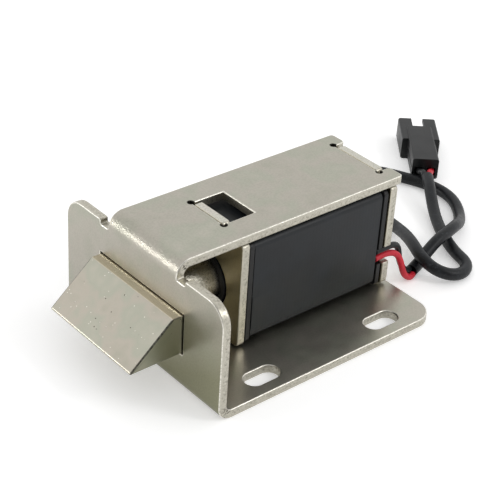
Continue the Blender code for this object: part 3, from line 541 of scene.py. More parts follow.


# The yoke plates take browner, yellower tones than the bracket.
yoke_tones = ((0.32, "B5A884"), (0.50, "C2B592"), (0.72, "CBC1A4"))
yoke_finish = nickel_plate("satin_nickel_browner_yellow_tones", yoke_tones, roughness=0.34, wear="D8D3C2")
yoke_finishes = [yoke_finish, cut_face, plate]
notch_tool = lead_notch(REAR_YOKE_X - SHEET, REAR_FACE_X + SHEET)
front_yoke = yoke_plate(FRONT_YOKE_X, FRONT_TAB_WIDTH, COLLAR_HOLE)
rear_yoke = yoke_plate(REAR_YOKE_X, REAR_TAB_WIDTH, CORE_HOLE, [notch_tool])
piece("front_yoke", front_yoke, yoke_finishes, "frame", "plated_steel", "front_yoke_plate")
piece("rear_yoke", rear_yoke, yoke_finishes, "frame", "plated_steel", "rear_yoke_plate")


# Bobbin: one moulding in black glass-filled nylon. Its collar sits in the front yoke plate, its bore
# guides the plunger, and the copper is wound between its two cheeks.

BORE = 5.3 * MM
FRONT_CHEEK_X = -5.65 * MM
REAR_CHEEK_X = 32.4 * MM
CHEEK = 1.3 * MM
BOBBIN_WIDTH = 22.4 * MM
BOBBIN_HEIGHTS = (2.4 * MM, 26.8 * MM)
BOBBIN_CORNER = 1.2 * MM
COLLAR_RADIUS = 6.65 * MM
COLLAR_X = -8.25 * MM
COLLAR_LIP = 0.15 * MM
CHEEK_EDGE = 0.2 * MM
TUBE_RADIUS = 6.3 * MM
ROUND_SIDES = 96


def moulded_plastic(name, low, high, roughness, grain_mm, ior):
    """Black moulded plastic: slightly uneven black, the tool's fine spark texture, and a low sheen."""
    made, add, shader, place = new_finish(name, IOR=ior, Metallic=0.0, Specular_IOR_Level=0.4)
    patches = add("TexNoise", {"Vector": place, "Scale": 1 / (6 * MM), "Detail": 3.0})
    spark = add("TexNoise", {"Vector": place, "Scale": 1 / (grain_mm * MM), "Detail": 2.0})
    tone = add("ValToRGB", {"Fac": patches}, ((0.35, low), (0.70, high)))
    sheen = add("MapRange", {"Value": patches, 1: 0.3, 2: 0.7, 3: roughness - 0.05, 4: roughness + 0.08})
    texture = add("Bump", {"Height": spark, "Distance": 0.02 * MM, "Strength": 0.5})
    connect(shader, {"Base Color": tone, "Roughness": sheen, "Normal": texture})
    return made


def join_loops(bm, loops, closed):
    """Skin the rings of corners in turn, and the last to the first where the skin is closed."""
    for one, other in list(zip(loops, loops[1:])) + ([(loops[-1], loops[0])] if closed else []):
        for step in range(len(one)):
            after = (step + 1) % len(one)
            bm.faces.new((one[step], one[after], other[after], other[step]))


def unit(vector):
    return vector / np.linalg.norm(vector)


def swept(route, rings, sides=ROUND_SIDES, closed=False):
    """Round solid along a route, through rings of (distance along it, radius). Open ends are capped."""
    route = np.array(route, float)
    run = np.concatenate([[0], np.cumsum(np.linalg.norm(np.diff(route, axis=0), axis=1))])
    ahead = np.gradient(route, axis=0)
    ahead /= np.linalg.norm(ahead, axis=1)[:, None]
    side = np.cross(ahead[0], (0.0, 0.0, 1.0))
    aside = []
    for direction in ahead:
        side = unit(side - direction * (side @ direction))
        aside.append(side)
    tracks = (route, ahead, np.array(aside))
    turns = [2 * math.pi * step / sides for step in range(sides)]
    bm = bmesh.new()
    loops = []
    for distance, radius in rings:
        centre, forward, across = [
            np.array([np.interp(distance, run, track[:, axis]) for axis in range(3)]) for track in tracks
        ]
        forward = unit(forward)
        across = unit(across - forward * (across @ forward))
        over = np.cross(across, forward)
        ring = [centre + radius * (math.cos(turn) * across + math.sin(turn) * over) for turn in turns]
        loops.append([bm.verts.new(point) for point in ring])
    join_loops(bm, loops, closed)
    if not closed:
        bm.faces.new(loops[0])
        bm.faces.new(loops[-1])
    return as_mesh(bm)


def on_axis(start, end, rings, closed=False):
    """Round solid on the bolt's axis."""
    return swept([(start, 0.0, AXIS_HEIGHT), (end, 0.0, AXIS_HEIGHT)], rings, closed=closed)


def bobbin():
    """Two cheeks, the collar and the tube in one, bored through and notched for the leads."""
    outline = box_outline(centred(BOBBIN_WIDTH), BOBBIN_HEIGHTS, BOBBIN_CORNER)
    cheeks = [
        worked(prism(outline, x, x + CHEEK, ALONG_X), edge=CHEEK_EDGE) for x in (FRONT_CHEEK_X, REAR_CHEEK_X)
    ]
    collar_end = FRONT_CHEEK_X + CHEEK / 2
    collar_rings = [(0.0, COLLAR_RADIUS - COLLAR_LIP), (COLLAR_LIP, COLLAR_RADIUS)]
    collar = on_axis(COLLAR_X, collar_end, collar_rings + [(collar_end - COLLAR_X, COLLAR_RADIUS)])
    start, end = FRONT_CHEEK_X + CHEEK / 4, REAR_CHEEK_X + CHEEK / 2
    spool = on_axis(start, end, [(0.0, TUBE_RADIUS), (end - start, TUBE_RADIUS)])
    bore = on_axis(COLLAR_X - SHEET, REAR_YOKE_X, [(0.0, BORE), (REAR_YOKE_X + SHEET - COLLAR_X, BORE)])
    notch = lead_notch(REAR_CHEEK_X - CHEEK, REAR_YOKE_X)
    return worked(cheeks[0], weld=[cheeks[1], collar, spool], cut=[bore, notch])


nylon = moulded_plastic(
    "glass_filled_nylon_moulded", "0C0C0D", "151517", roughness=0.44, grain_mm=0.6, ior=1.5
)
piece("spool", bobbin(), [nylon], "frame", "black_nylon", "bobbin")


# Coil: enamelled copper wire, layer wound on the bobbin, under a few turns of black polyester film
# that bulge a little over the copper. The film's loose end is pressed down along one long edge.

WRAP_START_X = -4.05 * MM
WRAP_END_X = 32.1 * MM
WRAP_WIDTH = 21.9 * MM
WRAP_HEIGHTS = (2.65 * MM, 26.55 * MM)
WRAP_CORNER = 1.6 * MM
WRAP_THICKNESS = 0.4 * MM
WRAP_BULGE = 0.16 * MM
WRAP_STEPS = 48
WRAP_SPACING = 1.5 * MM
# How fast the bulge rises behind each cheek, and how much less it is away from the corners' round
BULGE_RISE = 2.2
BULGE_REACH = 2 * MM
BULGE_LOSS = 0.2
SIDE_BAND = 0.3 * MM
FILM_END_HEIGHTS = (5.2 * MM, 5.25 * MM, 13.0 * MM, 13.4 * MM)
FILM_END_THICKNESS = 0.07 * MM
FILM_END_SINK = 0.02 * MM
FILM_END_INSET = 0.1 * MM


def film_finish():
    """Polyester film over wound wire: smooth and dark blue-grey, with a broad soft sheen and faint ribs."""
    made, add, shader, place = new_finish(
        "polyester_film_wound_over_wire", IOR=1.45, Metallic=0.0, Specular_IOR_Level=0.35
    )
    smears = add("TexNoise", {"Vector": place, "Scale": 1 / (9 * MM), "Detail": 4.0, "Roughness": 0.6})
    tone = add("ValToRGB", {"Fac": smears}, ((0.32, "17191C"), (0.52, "1D2023"), (0.72, "25282C")))
    # The wire beneath is 0.3 mm and is drawn at 0.9 mm. A wave's bands lie pi/10 apart at scale 1.
    wave = {"Vector": place, "Scale": math.pi / 10 / (0.9 * MM), "Distortion": 1.5, "Detail": 2.0}
    ribs = add("TexWave", wave, bands_direction="X").outputs["Fac"]
    soft = add("MapRange", {"Value": smears, 1: 0.3, 2: 0.7, 3: 0.34, 4: 0.50})
    ribbed = add("Bump", {"Height": ribs, "Distance": 0.01 * MM, "Strength": 0.35})
    creased = add("Bump", {"Height": smears, "Distance": 0.25 * MM, "Strength": 0.25, "Normal": ribbed})
    connect(shader, {"Base Color": tone, "Roughness": soft, "Normal": creased})
    return made


def film_wrap():
    """Film from cheek to cheek: an outer skin that bulges over the copper, and an inner one."""
    low, high = WRAP_HEIGHTS
    half = Vector((WRAP_WIDTH / 2, (high - low) / 2))
    middle = Vector((0.0, (low + high) / 2))
    skin = box_outline(centred(WRAP_WIDTH), WRAP_HEIGHTS, WRAP_CORNER)
    outer = []
    for start, end in zip(skin, skin[1:] + skin[:1]):
        parts = max(1, round((end - start).length / WRAP_SPACING))
        outer += [start.lerp(end, part / parts) for part in range(parts)]
    loops = []
    for step in range(WRAP_STEPS + 1):
        share = step / WRAP_STEPS
        x = WRAP_START_X + (WRAP_END_X - WRAP_START_X) * share
        lift = WRAP_BULGE * min(1.0, math.sin(math.pi * share) * BULGE_RISE)
        loop = []
        for point in outer:
            off = point - middle
            # The film stands off most at the middle of each side, and not at the corners.
            along = off.y / half.y if abs(off.x) > half.x - SIDE_BAND else off.x / half.x
            swell = max(0.0, math.cos(math.pi / 2 * along))
            inside = min(half.x - abs(off.x), half.y - abs(off.y))
            kept = 1 - min(1.0, inside / BULGE_REACH) * BULGE_LOSS
            loop.append(ALONG_X @ Vector((*(middle + off + off.normalized() * lift * swell * kept), x)))
        loops.append(loop)
    shrink = 1 - WRAP_THICKNESS / half.x
    for source in (loops[-1], loops[0]):
        loops.append([Vector((p.x, p.y * shrink, middle.y + (p.z - middle.y) * shrink)) for p in source])
    bm = bmesh.new()
    join_loops(bm, [[bm.verts.new(point) for point in loop] for loop in loops], closed=True)
    return as_mesh(bm)


def film_end():
    """The loose end of the film: a thin strip on the right-hand side, from cheek to cheek."""
    inner = -WRAP_WIDTH / 2 - FILM_END_SINK
    outer = inner - FILM_END_THICKNESS
    outline = list(zip((inner, outer, outer, inner), FILM_END_HEIGHTS))
    return prism(outline, WRAP_START_X + FILM_END_INSET, WRAP_END_X - FILM_END_INSET, ALONG_X)


def enamelled_copper():
    """Copper wire under clear enamel: deep orange, with a groove at each turn that is painted dark as its
    shade.
    """
    made, add, shader, place = new_finish("enamelled_copper_layer_wound", Metallic=1.0, Roughness=0.3)
    wave = {"Vector": place, "Scale": math.pi / 10 / (0.5 * MM), "Distortion": 0.4}
    turns = add("TexWave", wave, bands_direction="X").outputs["Fac"]
    tone = add("ValToRGB", {"Fac": turns}, ((0.1, "6B3414"), (0.8, "C4733A")))
    groove = add("Bump", {"Height": turns, "Distance": 0.1 * MM, "Strength": 0.7})
    connect(shader, {"Base Color": tone, "Normal": groove})
    return made


film = film_finish()
piece("film_wrap", film_wrap(), [film], "frame", "coil_film", "coil_wrap")
piece("film_end", film_end(), [film], "frame", "coil_film")
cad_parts["coil_winding"].material_slots[0].material = enamelled_copper()


# Fixed core: a stop turned from soft iron, plated, its neck staked over behind the rear yoke plate. A
# thin brass washer on its face keeps the plunger from sticking when the current stops.

CORE_X = 19.25 * MM
WASHER_X = 18.6 * MM

# Turned profiles, in mm: how far behind the piece's front, and the radius there. The core has the
# spring's seat at its front, then its body, the neck through the rear plate, and the spread head.
CORE_PROFILE = (
    (4.0, 3.0), (0.2, 3.0), (0.0, 3.2), (0.0, 4.7), (0.4, 5.1), (14.4, 5.1), (14.45, 5.05), (14.45, 3.7),
    (17.05, 3.7), (17.05, 4.5), (17.15, 4.6), (17.4, 4.55), (17.68, 4.2), (17.85, 3.5), (17.85, 2.6),
    (17.55, 2.1), (17.5, 0.9),
)
WASHER_PROFILE = ((0.0, 3.05), (0.0, 4.75), (0.05, 4.8), (0.45, 4.8), (0.5, 4.75), (0.5, 3.05))


def turned_metal(name, low, high, roughness, pitch_mm):
    """Metal from the lathe: fine rings round the axis, which draw a highlight into a speckled streak."""
    made, add, shader, place = new_finish(name, Metallic=1.0)
    # Real feed marks are about 0.08 mm apart, and are drawn coarser so that they show.
    wave = {"Vector": place, "Scale": math.pi / 10 / (pitch_mm * MM), "Distortion": 2.0, "Detail": 3.0}
    rings = add("TexWave", wave, bands_direction="X").outputs["Fac"]
    speck = add("TexNoise", {"Vector": place, "Scale": 1 / (0.35 * MM), "Detail": 3.0, "Roughness": 0.7})
    tone = add("ValToRGB", {"Fac": speck}, ((0.35, low), (0.65, high)))
    gloss = add("MapRange", {"Value": speck, 1: 0.3, 2: 0.7, 3: roughness + 0.12, 4: roughness - 0.04})
    ringed = add("Bump", {"Height": rings, "Distance": 0.01 * MM, "Strength": 0.2})
    specked = add("Bump", {"Height": speck, "Distance": 0.1 * MM, "Strength": 0.7, "Normal": ringed})
    connect(shader, {"Base Color": tone, "Roughness": gloss, "Normal": specked})
    return made


def in_metres(profile):
    return [(distance * MM, radius * MM) for distance, radius in profile]


turned = turned_metal("nickel_on_turned_iron", "9A9688", "DEDBD0", roughness=0.27, pitch_mm=0.4)
brass = turned_metal("rolled_brass", "A8813A", "C9A75C", roughness=0.32, pitch_mm=0.6)
core = on_axis(CORE_X, CORE_X + 20 * MM, in_metres(CORE_PROFILE))
washer = on_axis(WASHER_X, WASHER_X + 1 * MM, in_metres(WASHER_PROFILE), closed=True)
piece("core", core, [turned], "frame", "turned_steel", "fixed_core")
piece("washer", washer, [brass], "frame", "brass_washer", "core_washer")


# Latch bolt: a pressed and sintered steel wedge with a shoulder that stops behind the front plate. Its
# slope lets the strike push it back, and it is plated and left with the fine pits of its press.

BOLT_REACH = 12.5 * MM
BOLT_FLAT = 2.4 * MM
BOLT_WIDTH = 28.0 * MM
BOLT_HEIGHT = 9.1 * MM
BOLT_NOSE = 0.35 * MM
BOLT_EDGE = 0.3 * MM
SHOULDER_X = 2.3 * MM
SHOULDER_WIDTH = 31.0 * MM
BOLT_REAR = 5.8 * MM
NECK_HOLE = 3.15 * MM
NECK_HOLE_DEPTH = 7.1 * MM
NECK_HOLE_SIDES = 48
PIN_DEPTH = 4.05 * MM
PIN_HOLE = 1.1 * MM
PIN_HOLE_SIDES = 32

ALONG_Y = Matrix(((1, 0, 0), (0, 0, -1), (0, 1, 0)))


def pitted_plate():
    """Nickel over pressed steel: grey in pinker and greener clouds, with tiny pinholes, most of them bright.
    Painted shade makes its sides greener and duller and darkens their rolled corners, and a painted highlight
    pales the faces that look up."""
    made, add, shader, place = new_finish("nickel_on_sintered_steel", Metallic=1.0)
    clouds = add("TexNoise", {"Vector": place, "Scale": 1 / (7 * MM), "Detail": 3.0, "Roughness": 0.5})
    grain = add("TexNoise", {"Vector": place, "Scale": 1 / (0.5 * MM), "Detail": 3.0, "Roughness": 0.6})
    tones = ((0.30, "B3B0A1"), (0.46, "BFB8AB"), (0.58, "B6B6A7"), (0.75, "C0BCAE"))
    tone = add("ValToRGB", {"Fac": clouds}, tones)
    facing = add("SeparateXYZ", {0: add("TexCoord").outputs["Normal"]}).outputs
    sideways = add("Math", {0: facing["Y"]}, operation="ABSOLUTE")
    # Painted shade: the faces that look to either side are painted greener and duller.
    painted_side_shade = add("MapRange", {"Value": sideways, 1: 0.75, 2: 0.95, 3: 0.0, 4: 0.8})
    side_shaded = add("Mix", {0: painted_side_shade, 6: tone, 7: linear("8C8D79")}, data_type="RGBA")
    # Painted highlight: faces that look up, such as the narrow flat on top, are painted paler.
    painted_top_highlight = add("MapRange", {"Value": facing["Z"], 1: 0.9, 2: 0.98, 3: 0.0, 4: 0.9})
    paler = add("Mix", {0: painted_top_highlight, 6: side_shaded, 7: linear("DED5BF")}, data_type="RGBA")
    # Real pits are about 0.1 mm wide, and are drawn at 0.25 mm so that they show.
    cells = add("TexVoronoi", {"Vector": place, "Scale": 1 / (1.1 * MM)})
    chance = add("SeparateColor", {"Color": cells.outputs["Color"]}).outputs
    hole = add("MapRange", {"Value": cells, 1: 0.08, 2: 0.13, 3: 1.0, 4: 0.0})
    dark = add("Math", {0: chance["Red"], 1: 0.86}, operation="GREATER_THAN")
    bright = add("Math", {0: chance["Green"], 1: 0.5}, operation="GREATER_THAN")
    dark_pit = add("Math", {0: hole, 1: dark}, operation="MULTIPLY")
    bright_pit = add("Math", {0: hole, 1: bright}, operation="MULTIPLY")
    darkened = add("Mix", {0: dark_pit, 6: paler, 7: linear("4E473B")}, data_type="RGBA")
    pitted = add("Mix", {0: bright_pit, 6: darkened, 7: linear("F0ECE2")}, data_type="RGBA")
    # Painted shade: a dark, patchy line along the rolled corners of the sides.
    painted_corner_shade = add("Attribute", attribute_name="painted_corner_shade").outputs["Fac"]
    patchy = add("MapRange", {"Value": grain, 1: 0.3, 2: 0.6, 3: 0.95, 4: 0.6})
    corner = add("Math", {0: painted_corner_shade, 1: patchy}, operation="MULTIPLY")
    corner_shaded = add("Mix", {0: corner, 6: pitted, 7: linear("2B2923")}, data_type="RGBA")
    satin = add("MapRange", {"Value": grain, 1: 0.3, 2: 0.7, 3: 0.30, 4: 0.40})
    rough = add("Bump", {"Height": grain, "Distance": 0.02 * MM, "Strength": 0.25})
    pit_depth = {"Height": dark_pit, "Distance": 0.1 * MM, "Strength": 0.8, "Normal": rough}
    sunk = add("Bump", pit_depth, invert=True)
    connect(shader, {"Base Color": corner_shaded, "Roughness": satin, "Normal": sunk})
    return made


def wedge():
    """Block with a shoulder, its slope cut and its edges broken, then bored for the plunger and its pin."""
    low, high = -BOLT_HEIGHT / 2, BOLT_HEIGHT / 2
    half = [
        (-BOLT_REACH, BOLT_WIDTH / 2),
        (SHOULDER_X, BOLT_WIDTH / 2),
        (SHOULDER_X, SHOULDER_WIDTH / 2),
        (BOLT_REAR, SHOULDER_WIDTH / 2),
    ]
    blank = prism(half + [(x, -across) for x, across in reversed(half)], low, high, ALONG_Z)
    slope = (high - low - BOLT_NOSE) / (BOLT_REACH - BOLT_FLAT)
    over = SHEET
    above = [
        (-BOLT_FLAT + over, high + slope * over),
        (-BOLT_REACH - over, low + BOLT_NOSE - slope * over),
        (-BOLT_REACH - over, high + slope * over),
    ]
    shaped = worked(blank, cut=[prism(above, -BOLT_WIDTH, BOLT_WIDTH, ALONG_Y)], edge=BOLT_EDGE, steps=4)
    neck = prism(circle(NECK_HOLE, NECK_HOLE_SIDES), BOLT_REAR - NECK_HOLE_DEPTH, BOLT_REAR + SHEET, ALONG_X)
    cross_hole = prism(circle(PIN_HOLE, PIN_HOLE_SIDES, (PIN_DEPTH, 0.0)), -BOLT_HEIGHT, BOLT_HEIGHT, ALONG_Z)
    made = worked(shaped, cut=[neck, cross_hole])
    painted_corner_shade = made.attributes.new("painted_corner_shade", "FLOAT", "FACE")
    for face, mark in zip(made.polygons, painted_corner_shade.data):
        # The rolled corner at each side of the part that shows, not the flats beside it, takes the painted
        # shade
        sides = [abs(made.vertices[index].co.y) for index in face.vertices]
        rolled = max(sides) - min(sides) > LEVEL and min(sides) > BOLT_WIDTH / 2 - BOLT_EDGE - NEAR
        outside = 0.2 < abs(face.normal.y) < 0.98 and face.center.x < -0.2 * MM
        mark.value = 1.0 if rolled and outside else 0.0
    made.transform(Matrix.Translation((FRONT_X, 0, AXIS_HEIGHT)))
    return made


piece("wedge_bolt", wedge(), [pitted_plate()], "bolt", "bolt_steel", "latch_bolt")


# Plunger: a soft iron rod turned with a neck that goes into the bolt, where a cross pin holds it. Its
# rear end has a blind bore for the spring. It slides in the bobbin when the coil pulls.

PLUNGER_PROFILE = (
    (0.0, 2.6), (0.4, 3.0), (6.95, 3.0), (6.95, 4.5), (7.05, 4.75), (7.3, 5.0), (33.65, 5.0), (33.95, 4.75),
    (34.05, 4.5), (34.05, 3.1), (33.9, 3.0), (22.05, 3.0),
)
PLUNGER_X = -25.75 * MM
PIN_X = FRONT_X + PIN_DEPTH
PIN_LOW = AXIS_HEIGHT - 4.25 * MM
PIN_PROFILE = ((0.0, 0.5), (0.5, 1.0), (8.0, 1.0), (8.5, 0.5))


def lying(profile, sides):
    """Round solid from a profile, lying along X from the origin."""
    return swept([(0.0, 0.0, 0.0), (20 * MM, 0.0, 0.0)], in_metres(profile), sides)


rod = on_axis(PLUNGER_X, PLUNGER_X + 40 * MM, in_metres(PLUNGER_PROFILE))
pin_circle = circle(PIN_HOLE, PIN_HOLE_SIDES, (PIN_X, 0.0))
pin_hole = prism(pin_circle, AXIS_HEIGHT - 5 * MM, AXIS_HEIGHT + 5 * MM, ALONG_Z)
pin = lying(PIN_PROFILE, sides=40)
pin.transform(Matrix.Translation((PIN_X, 0, PIN_LOW)) @ Matrix.Rotation(-math.pi / 2, 4, "Y"))
piece("plunger_rod", worked(rod, cut=[pin_hole]), [turned], "bolt", "turned_steel", "plunger")
piece("cross_pin", pin, [turned], "bolt", "turned_steel", "bolt_pin")


# Return spring: hard drawn steel wire, 0.5 mm, coiled with closed ends. It sits in the plunger's bore
# and the core's seat, and pushes the bolt out again.

SPRING_START = -3.15 * MM
SPRING_LENGTH = 25.85 * MM
SPRING_RADIUS = 2.45 * MM
SPRING_WIRE = 0.25 * MM
SPRING_TURNS = 13
SPRING_STEPS = 32
CLOSED_PITCH = 0.55 * MM
WIRE_SIDES = 12


def run_length(route):
    return float(np.linalg.norm(np.diff(route, axis=0), axis=1).sum())


def spring():
    """Open turns between one closed turn at each end."""
    pitch = (SPRING_LENGTH - 2 * CLOSED_PITCH) / (SPRING_TURNS - 2)
    points = []
    for step in range(SPRING_TURNS * SPRING_STEPS + 1):
        turn = step / SPRING_STEPS
        closed = min(turn, 1.0) + max(turn - (SPRING_TURNS - 1), 0.0)
        angle = 2 * math.pi * turn
        x = SPRING_START + CLOSED_PITCH * closed + pitch * (turn - closed)
        points.append((x, SPRING_RADIUS * math.cos(angle), AXIS_HEIGHT + SPRING_RADIUS * math.sin(angle)))
    stops = np.linspace(0.0, run_length(points), len(points))
    return swept(points, [(stop, SPRING_WIRE) for stop in stops], WIRE_SIDES)


drawn = turned_metal("hard_drawn_spring_wire", "8E8C88", "B5B2AC", roughness=0.28, pitch_mm=0.5)
coil_spring = piece("spring", spring(), [drawn], "frame", "spring_steel", "return_spring")
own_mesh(coil_spring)


# Leads: two tinned strands in soft vinyl, red and black, which leave the coil at its rear cheek and
# drop at once into one vinyl sleeve. The sleeve is free and limp and lies on the table behind the lock.

LEAD_RADIUS = 0.75 * MM
SLEEVE_RADIUS = 1.45 * MM
SLEEVE_BORE = 1.2 * MM
SLEEVE_REST = 1.5 * MM
SLEEVE_STEP = 3.1 * MM
SEAT_GAP = 0.3 * MM
LEAD_OFFSET = 10.3 * MM
RED_HEIGHT = 9.2 * MM
BLACK_HEIGHT = 11.1 * MM
LEAD_STEP = 0.5 * MM
LEAD_END = 0.08 * MM
LEAD_END_SHARE = 0.8

# mm behind the rear yoke plate, mm across, and height in steps of one sleeve over another
SLEEVE_ROUTE = (
    (9.2, -10.6, 0.0), (12.6, -9.4, 0.0), (16.2, -8.4, 0.35), (20.2, -7.8, 0.9), (24.0, -7.1, 1.04),
    (27.6, -6.0, 0.96), (31.2, -4.2, 0.58), (34.6, -1.9, 0.18), (37.8, 1.2, 0.0), (40.9, 5.8, 0.0),
    (42.2, 11.0, 0.0), (41.4, 16.6, 0.0), (39.2, 21.8, 0.0), (36.4, 27.0, 0.0), (31.6, 31.2, 0.0),
    (25.6, 30.6, 0.0), (21.8, 25.6, 0.0), (21.0, 18.4, 0.0), (20.4, 10.8, 0.05), (18.8, 3.8, 0.3),
    (16.0, -2.0, 0.8), (13.2, -7.2, 1.06), (11.7, -10.9, 0.96), (11.9, -14.7, 0.62), (14.6, -17.6, 0.22),
    (18.7, -18.1, 0.02), (22.0, -15.8, 0.0), (23.2, -12.4, 0.0), (24.4, -9.0, 0.0), (26.4, -4.9, 0.0),
    (29.4, 0.2, 0.05), (33.4, 6.0, 0.35), (37.0, 10.8, 0.85), (40.2, 14.9, 1.04),
)
SLEEVE_SPACING = 1.0 * MM
SLEEVE_MOUTH = 2.5 * MM
SLEEVE_LIP = 0.1 * MM
# mm behind the plate, mm aside from the exit, and the share of the drop that is still to come
RED_FALL = ((0.75, 0.0, 1.0), (3.4, -0.5, 0.85), (4.4, -1.3, 0.5), (5.6, -1.5, 0.18))
BLACK_FALL = ((0.75, 0.0, 1.0), (3.8, 0.4, 0.86), (5.1, 0.6, 0.52), (6.3, 0.5, 0.18))


def smooth_route(points, spacing):
    """Natural cubic spline through the points, read at even spacing and never below the lowest."""
    route = np.array(points)
    gaps = np.sqrt(np.linalg.norm(np.diff(route, axis=0), axis=1))
    count = len(route)
    system = np.eye(count)
    pull = np.zeros((count, 3))
    for i in range(1, count - 1):
        system[i, i - 1 : i + 2] = gaps[i - 1], 2 * (gaps[i - 1] + gaps[i]), gaps[i]
        pull[i] = 6 * ((route[i + 1] - route[i]) / gaps[i] - (route[i] - route[i - 1]) / gaps[i - 1])
    bend = np.linalg.solve(system, pull)
    fine = []
    for i in range(count - 1):
        for share in np.linspace(0, 1, 40, endpoint=i == count - 2):
            rest = 1 - share
            curve = (rest**3 - rest) * bend[i] + (share**3 - share) * bend[i + 1]
            fine.append(rest * route[i] + share * route[i + 1] + gaps[i] ** 2 / 6 * curve)
    fine = np.array(fine)
    fine[:, 2] = np.maximum(fine[:, 2], route[:, 2].min())
    run = np.concatenate([[0], np.cumsum(np.linalg.norm(np.diff(fine, axis=0), axis=1))])
    stops = np.linspace(0, run[-1], round(run[-1] / spacing) + 1)
    return np.stack([np.interp(stops, run, fine[:, axis]) for axis in range(3)], 1)


def vinyl(name, low, high, roughness, scuff, scuff_share):
    """Soft vinyl from the extruder: glossy where clean, with paler dry scuffs where it has rubbed."""
    made, add, shader, place = new_finish(name, IOR=1.45, Metallic=0.0, Specular_IOR_Level=0.35)
    patches = add("TexNoise", {"Vector": place, "Scale": 1 / (3 * MM), "Detail": 3.0})
    rubs = add("TexNoise", {"Vector": place, "Scale": 1 / (0.8 * MM), "Detail": 4.0, "Roughness": 0.7})
    tone = add("ValToRGB", {"Fac": patches}, ((0.35, low), (0.68, high)))
    paler = add("MapRange", {"Value": rubs, 1: 0.54, 2: 0.68, 3: 0.0, 4: scuff_share})
    base = add("Mix", {0: paler, 6: tone, 7: linear(scuff)}, data_type="RGBA")
    dry = add("MapRange", {"Value": rubs, 1: 0.4, 2: 0.7, 3: roughness, 4: roughness + 0.2})
    dents = add("Bump", {"Height": patches, "Distance": 0.12 * MM, "Strength": 0.35})
    connect(shader, {"Base Color": base, "Roughness": dry, "Normal": dents})
    return made


def wire(route):
    """Insulated lead along a route, its cut ends slightly rounded."""
    length = run_length(route)
    narrow = LEAD_RADIUS * LEAD_END_SHARE
    stops = np.linspace(0.3 * MM, length - 0.3 * MM, max(2, round(length / LEAD_STEP)))
    stops = [LEAD_END, *stops, length - LEAD_END]
    return swept(route, [(0.0, narrow), *[(stop, LEAD_RADIUS) for stop in stops], (length, narrow)], sides=24)


sleeve_points = [
    (REAR_FACE_X + x * MM, y * MM, SLEEVE_REST + step * SLEEVE_STEP) for x, y, step in SLEEVE_ROUTE
]
sleeve_route = smooth_route(sleeve_points, SLEEVE_SPACING)
sleeve_length = run_length(sleeve_route)
sleeve_end = [
    (SLEEVE_MOUTH, SLEEVE_BORE),
    (SLEEVE_LIP, SLEEVE_BORE),
    (0.0, SLEEVE_BORE + SLEEVE_LIP / 2),
    (0.0, SLEEVE_RADIUS - SLEEVE_LIP),
    (SLEEVE_LIP, SLEEVE_RADIUS),
]
sleeve_stops = np.arange(SLEEVE_SPACING, sleeve_length - SLEEVE_SPACING / 2, SLEEVE_SPACING)
sleeve_rings = sleeve_end + [(stop, SLEEVE_RADIUS) for stop in sleeve_stops]
sleeve_rings += [(sleeve_length - stop, radius) for stop, radius in reversed(sleeve_end)]
red_vinyl = vinyl("red_vinyl_extruded", "B81E2E", "C62B3A", 0.34, "D65A62", scuff_share=0.25)
black_vinyl = vinyl("black_vinyl_extruded", "0F1113", "16191B", 0.34, "3A3D40", scuff_share=0.3)
sleeve_vinyl = vinyl("black_vinyl_sleeve_rubbed", "101215", "191C20", 0.36, "43474B", scuff_share=0.4)
sleeve_mesh = swept(sleeve_route, sleeve_rings, sides=32)
sleeve = piece("sleeve", sleeve_mesh, [sleeve_vinyl], "frame", "sleeve_vinyl", "lead_sleeve")

opening = Vector(sleeve_points[0])
up = Vector((0, 0, 1))
ahead = (Vector(sleeve_points[1]) - opening).normalized()
left = up.cross(ahead)
for name, finish, height, side, fall in (
    ("red", red_vinyl, RED_HEIGHT, -1, RED_FALL),
    ("black", black_vinyl, BLACK_HEIGHT, 1, BLACK_FALL),
):
    # The two ends lie side by side in the mouth, the black one above.
    end = opening - ahead * SEAT_GAP + side * (left * 0.55 * MM + up * 0.6 * MM)
    points = [(WRAP_END_X + SEAT_GAP, -LEAD_OFFSET, height)]
    for behind, aside, share in fall:
        z = end.z + share * (height - end.z)
        points.append((REAR_FACE_X + behind * MM, aside * MM - LEAD_OFFSET, z))
    points += [tuple(end - ahead * 2 * LEAD_RADIUS), tuple(end)]
    route = smooth_route(points, LEAD_STEP)
    lead = name + "_lead"
    piece(lead + "_wire", wire(route), [finish], "frame", name + "_vinyl", lead)


# Connector: a two-way wire-to-wire housing moulded in black nylon, with a wide head round the two
# crimped contacts, a latch window on top, and a narrower tail with its parting groove on each side.

SEAT = Matrix.Translation((80.0 * MM, 19.2 * MM, 0.05 * MM)) @ Matrix.Rotation(math.radians(50.3), 4, "Z")
HEAD_WIDTH = 10.0 * MM
HEAD_HEIGHT = 6.0 * MM
TAIL_LENGTH = 12.0 * MM
HOUSING_END = 24.0 * MM
TAIL_WIDTH = 6.8 * MM
TAIL_HEIGHTS = (0.8 * MM, 6.5 * MM)
HOUSING_WALL = 1.05 * MM
HOUSING_CORNER = 0.6 * MM
HOUSING_EDGE = 0.14 * MM
SOCKET_X = 16.0 * MM
LATCH_X = 19.7 * MM
LATCH_HALF = 1.5 * MM
LATCH_HEIGHTS = (3.0 * MM, 10.0 * MM)
CONTACT_OFFSET = 1.6 * MM
CONTACT_X = 5.3 * MM
PASSAGE_HALF = 1.0 * MM
PASSAGE_END = 18.0 * MM
GROOVE_HALF = 0.12 * MM
GROOVE_ENDS = (1.0 * MM, 11.0 * MM)
GROOVE_HEIGHTS = (3.4 * MM, 3.8 * MM)
CONTACT_PROFILE = (
    (0.0, 0.6), (0.0, 0.8), (0.05, 0.85), (2.0, 0.85), (2.3, 0.7), (3.3, 0.7), (3.6, 0.85), (9.45, 0.85),
    (9.5, 0.8), (9.5, 0.45), (14.9, 0.45), (15.35, 0.35), (15.5, 0.2),
)


def block(x, middle, half, z):
    """Box-shaped tool in the housing's own axes, from end to end, about a middle, and from low to high."""
    return prism(box_outline(x, (middle - half, middle + half)), *z, ALONG_Z)


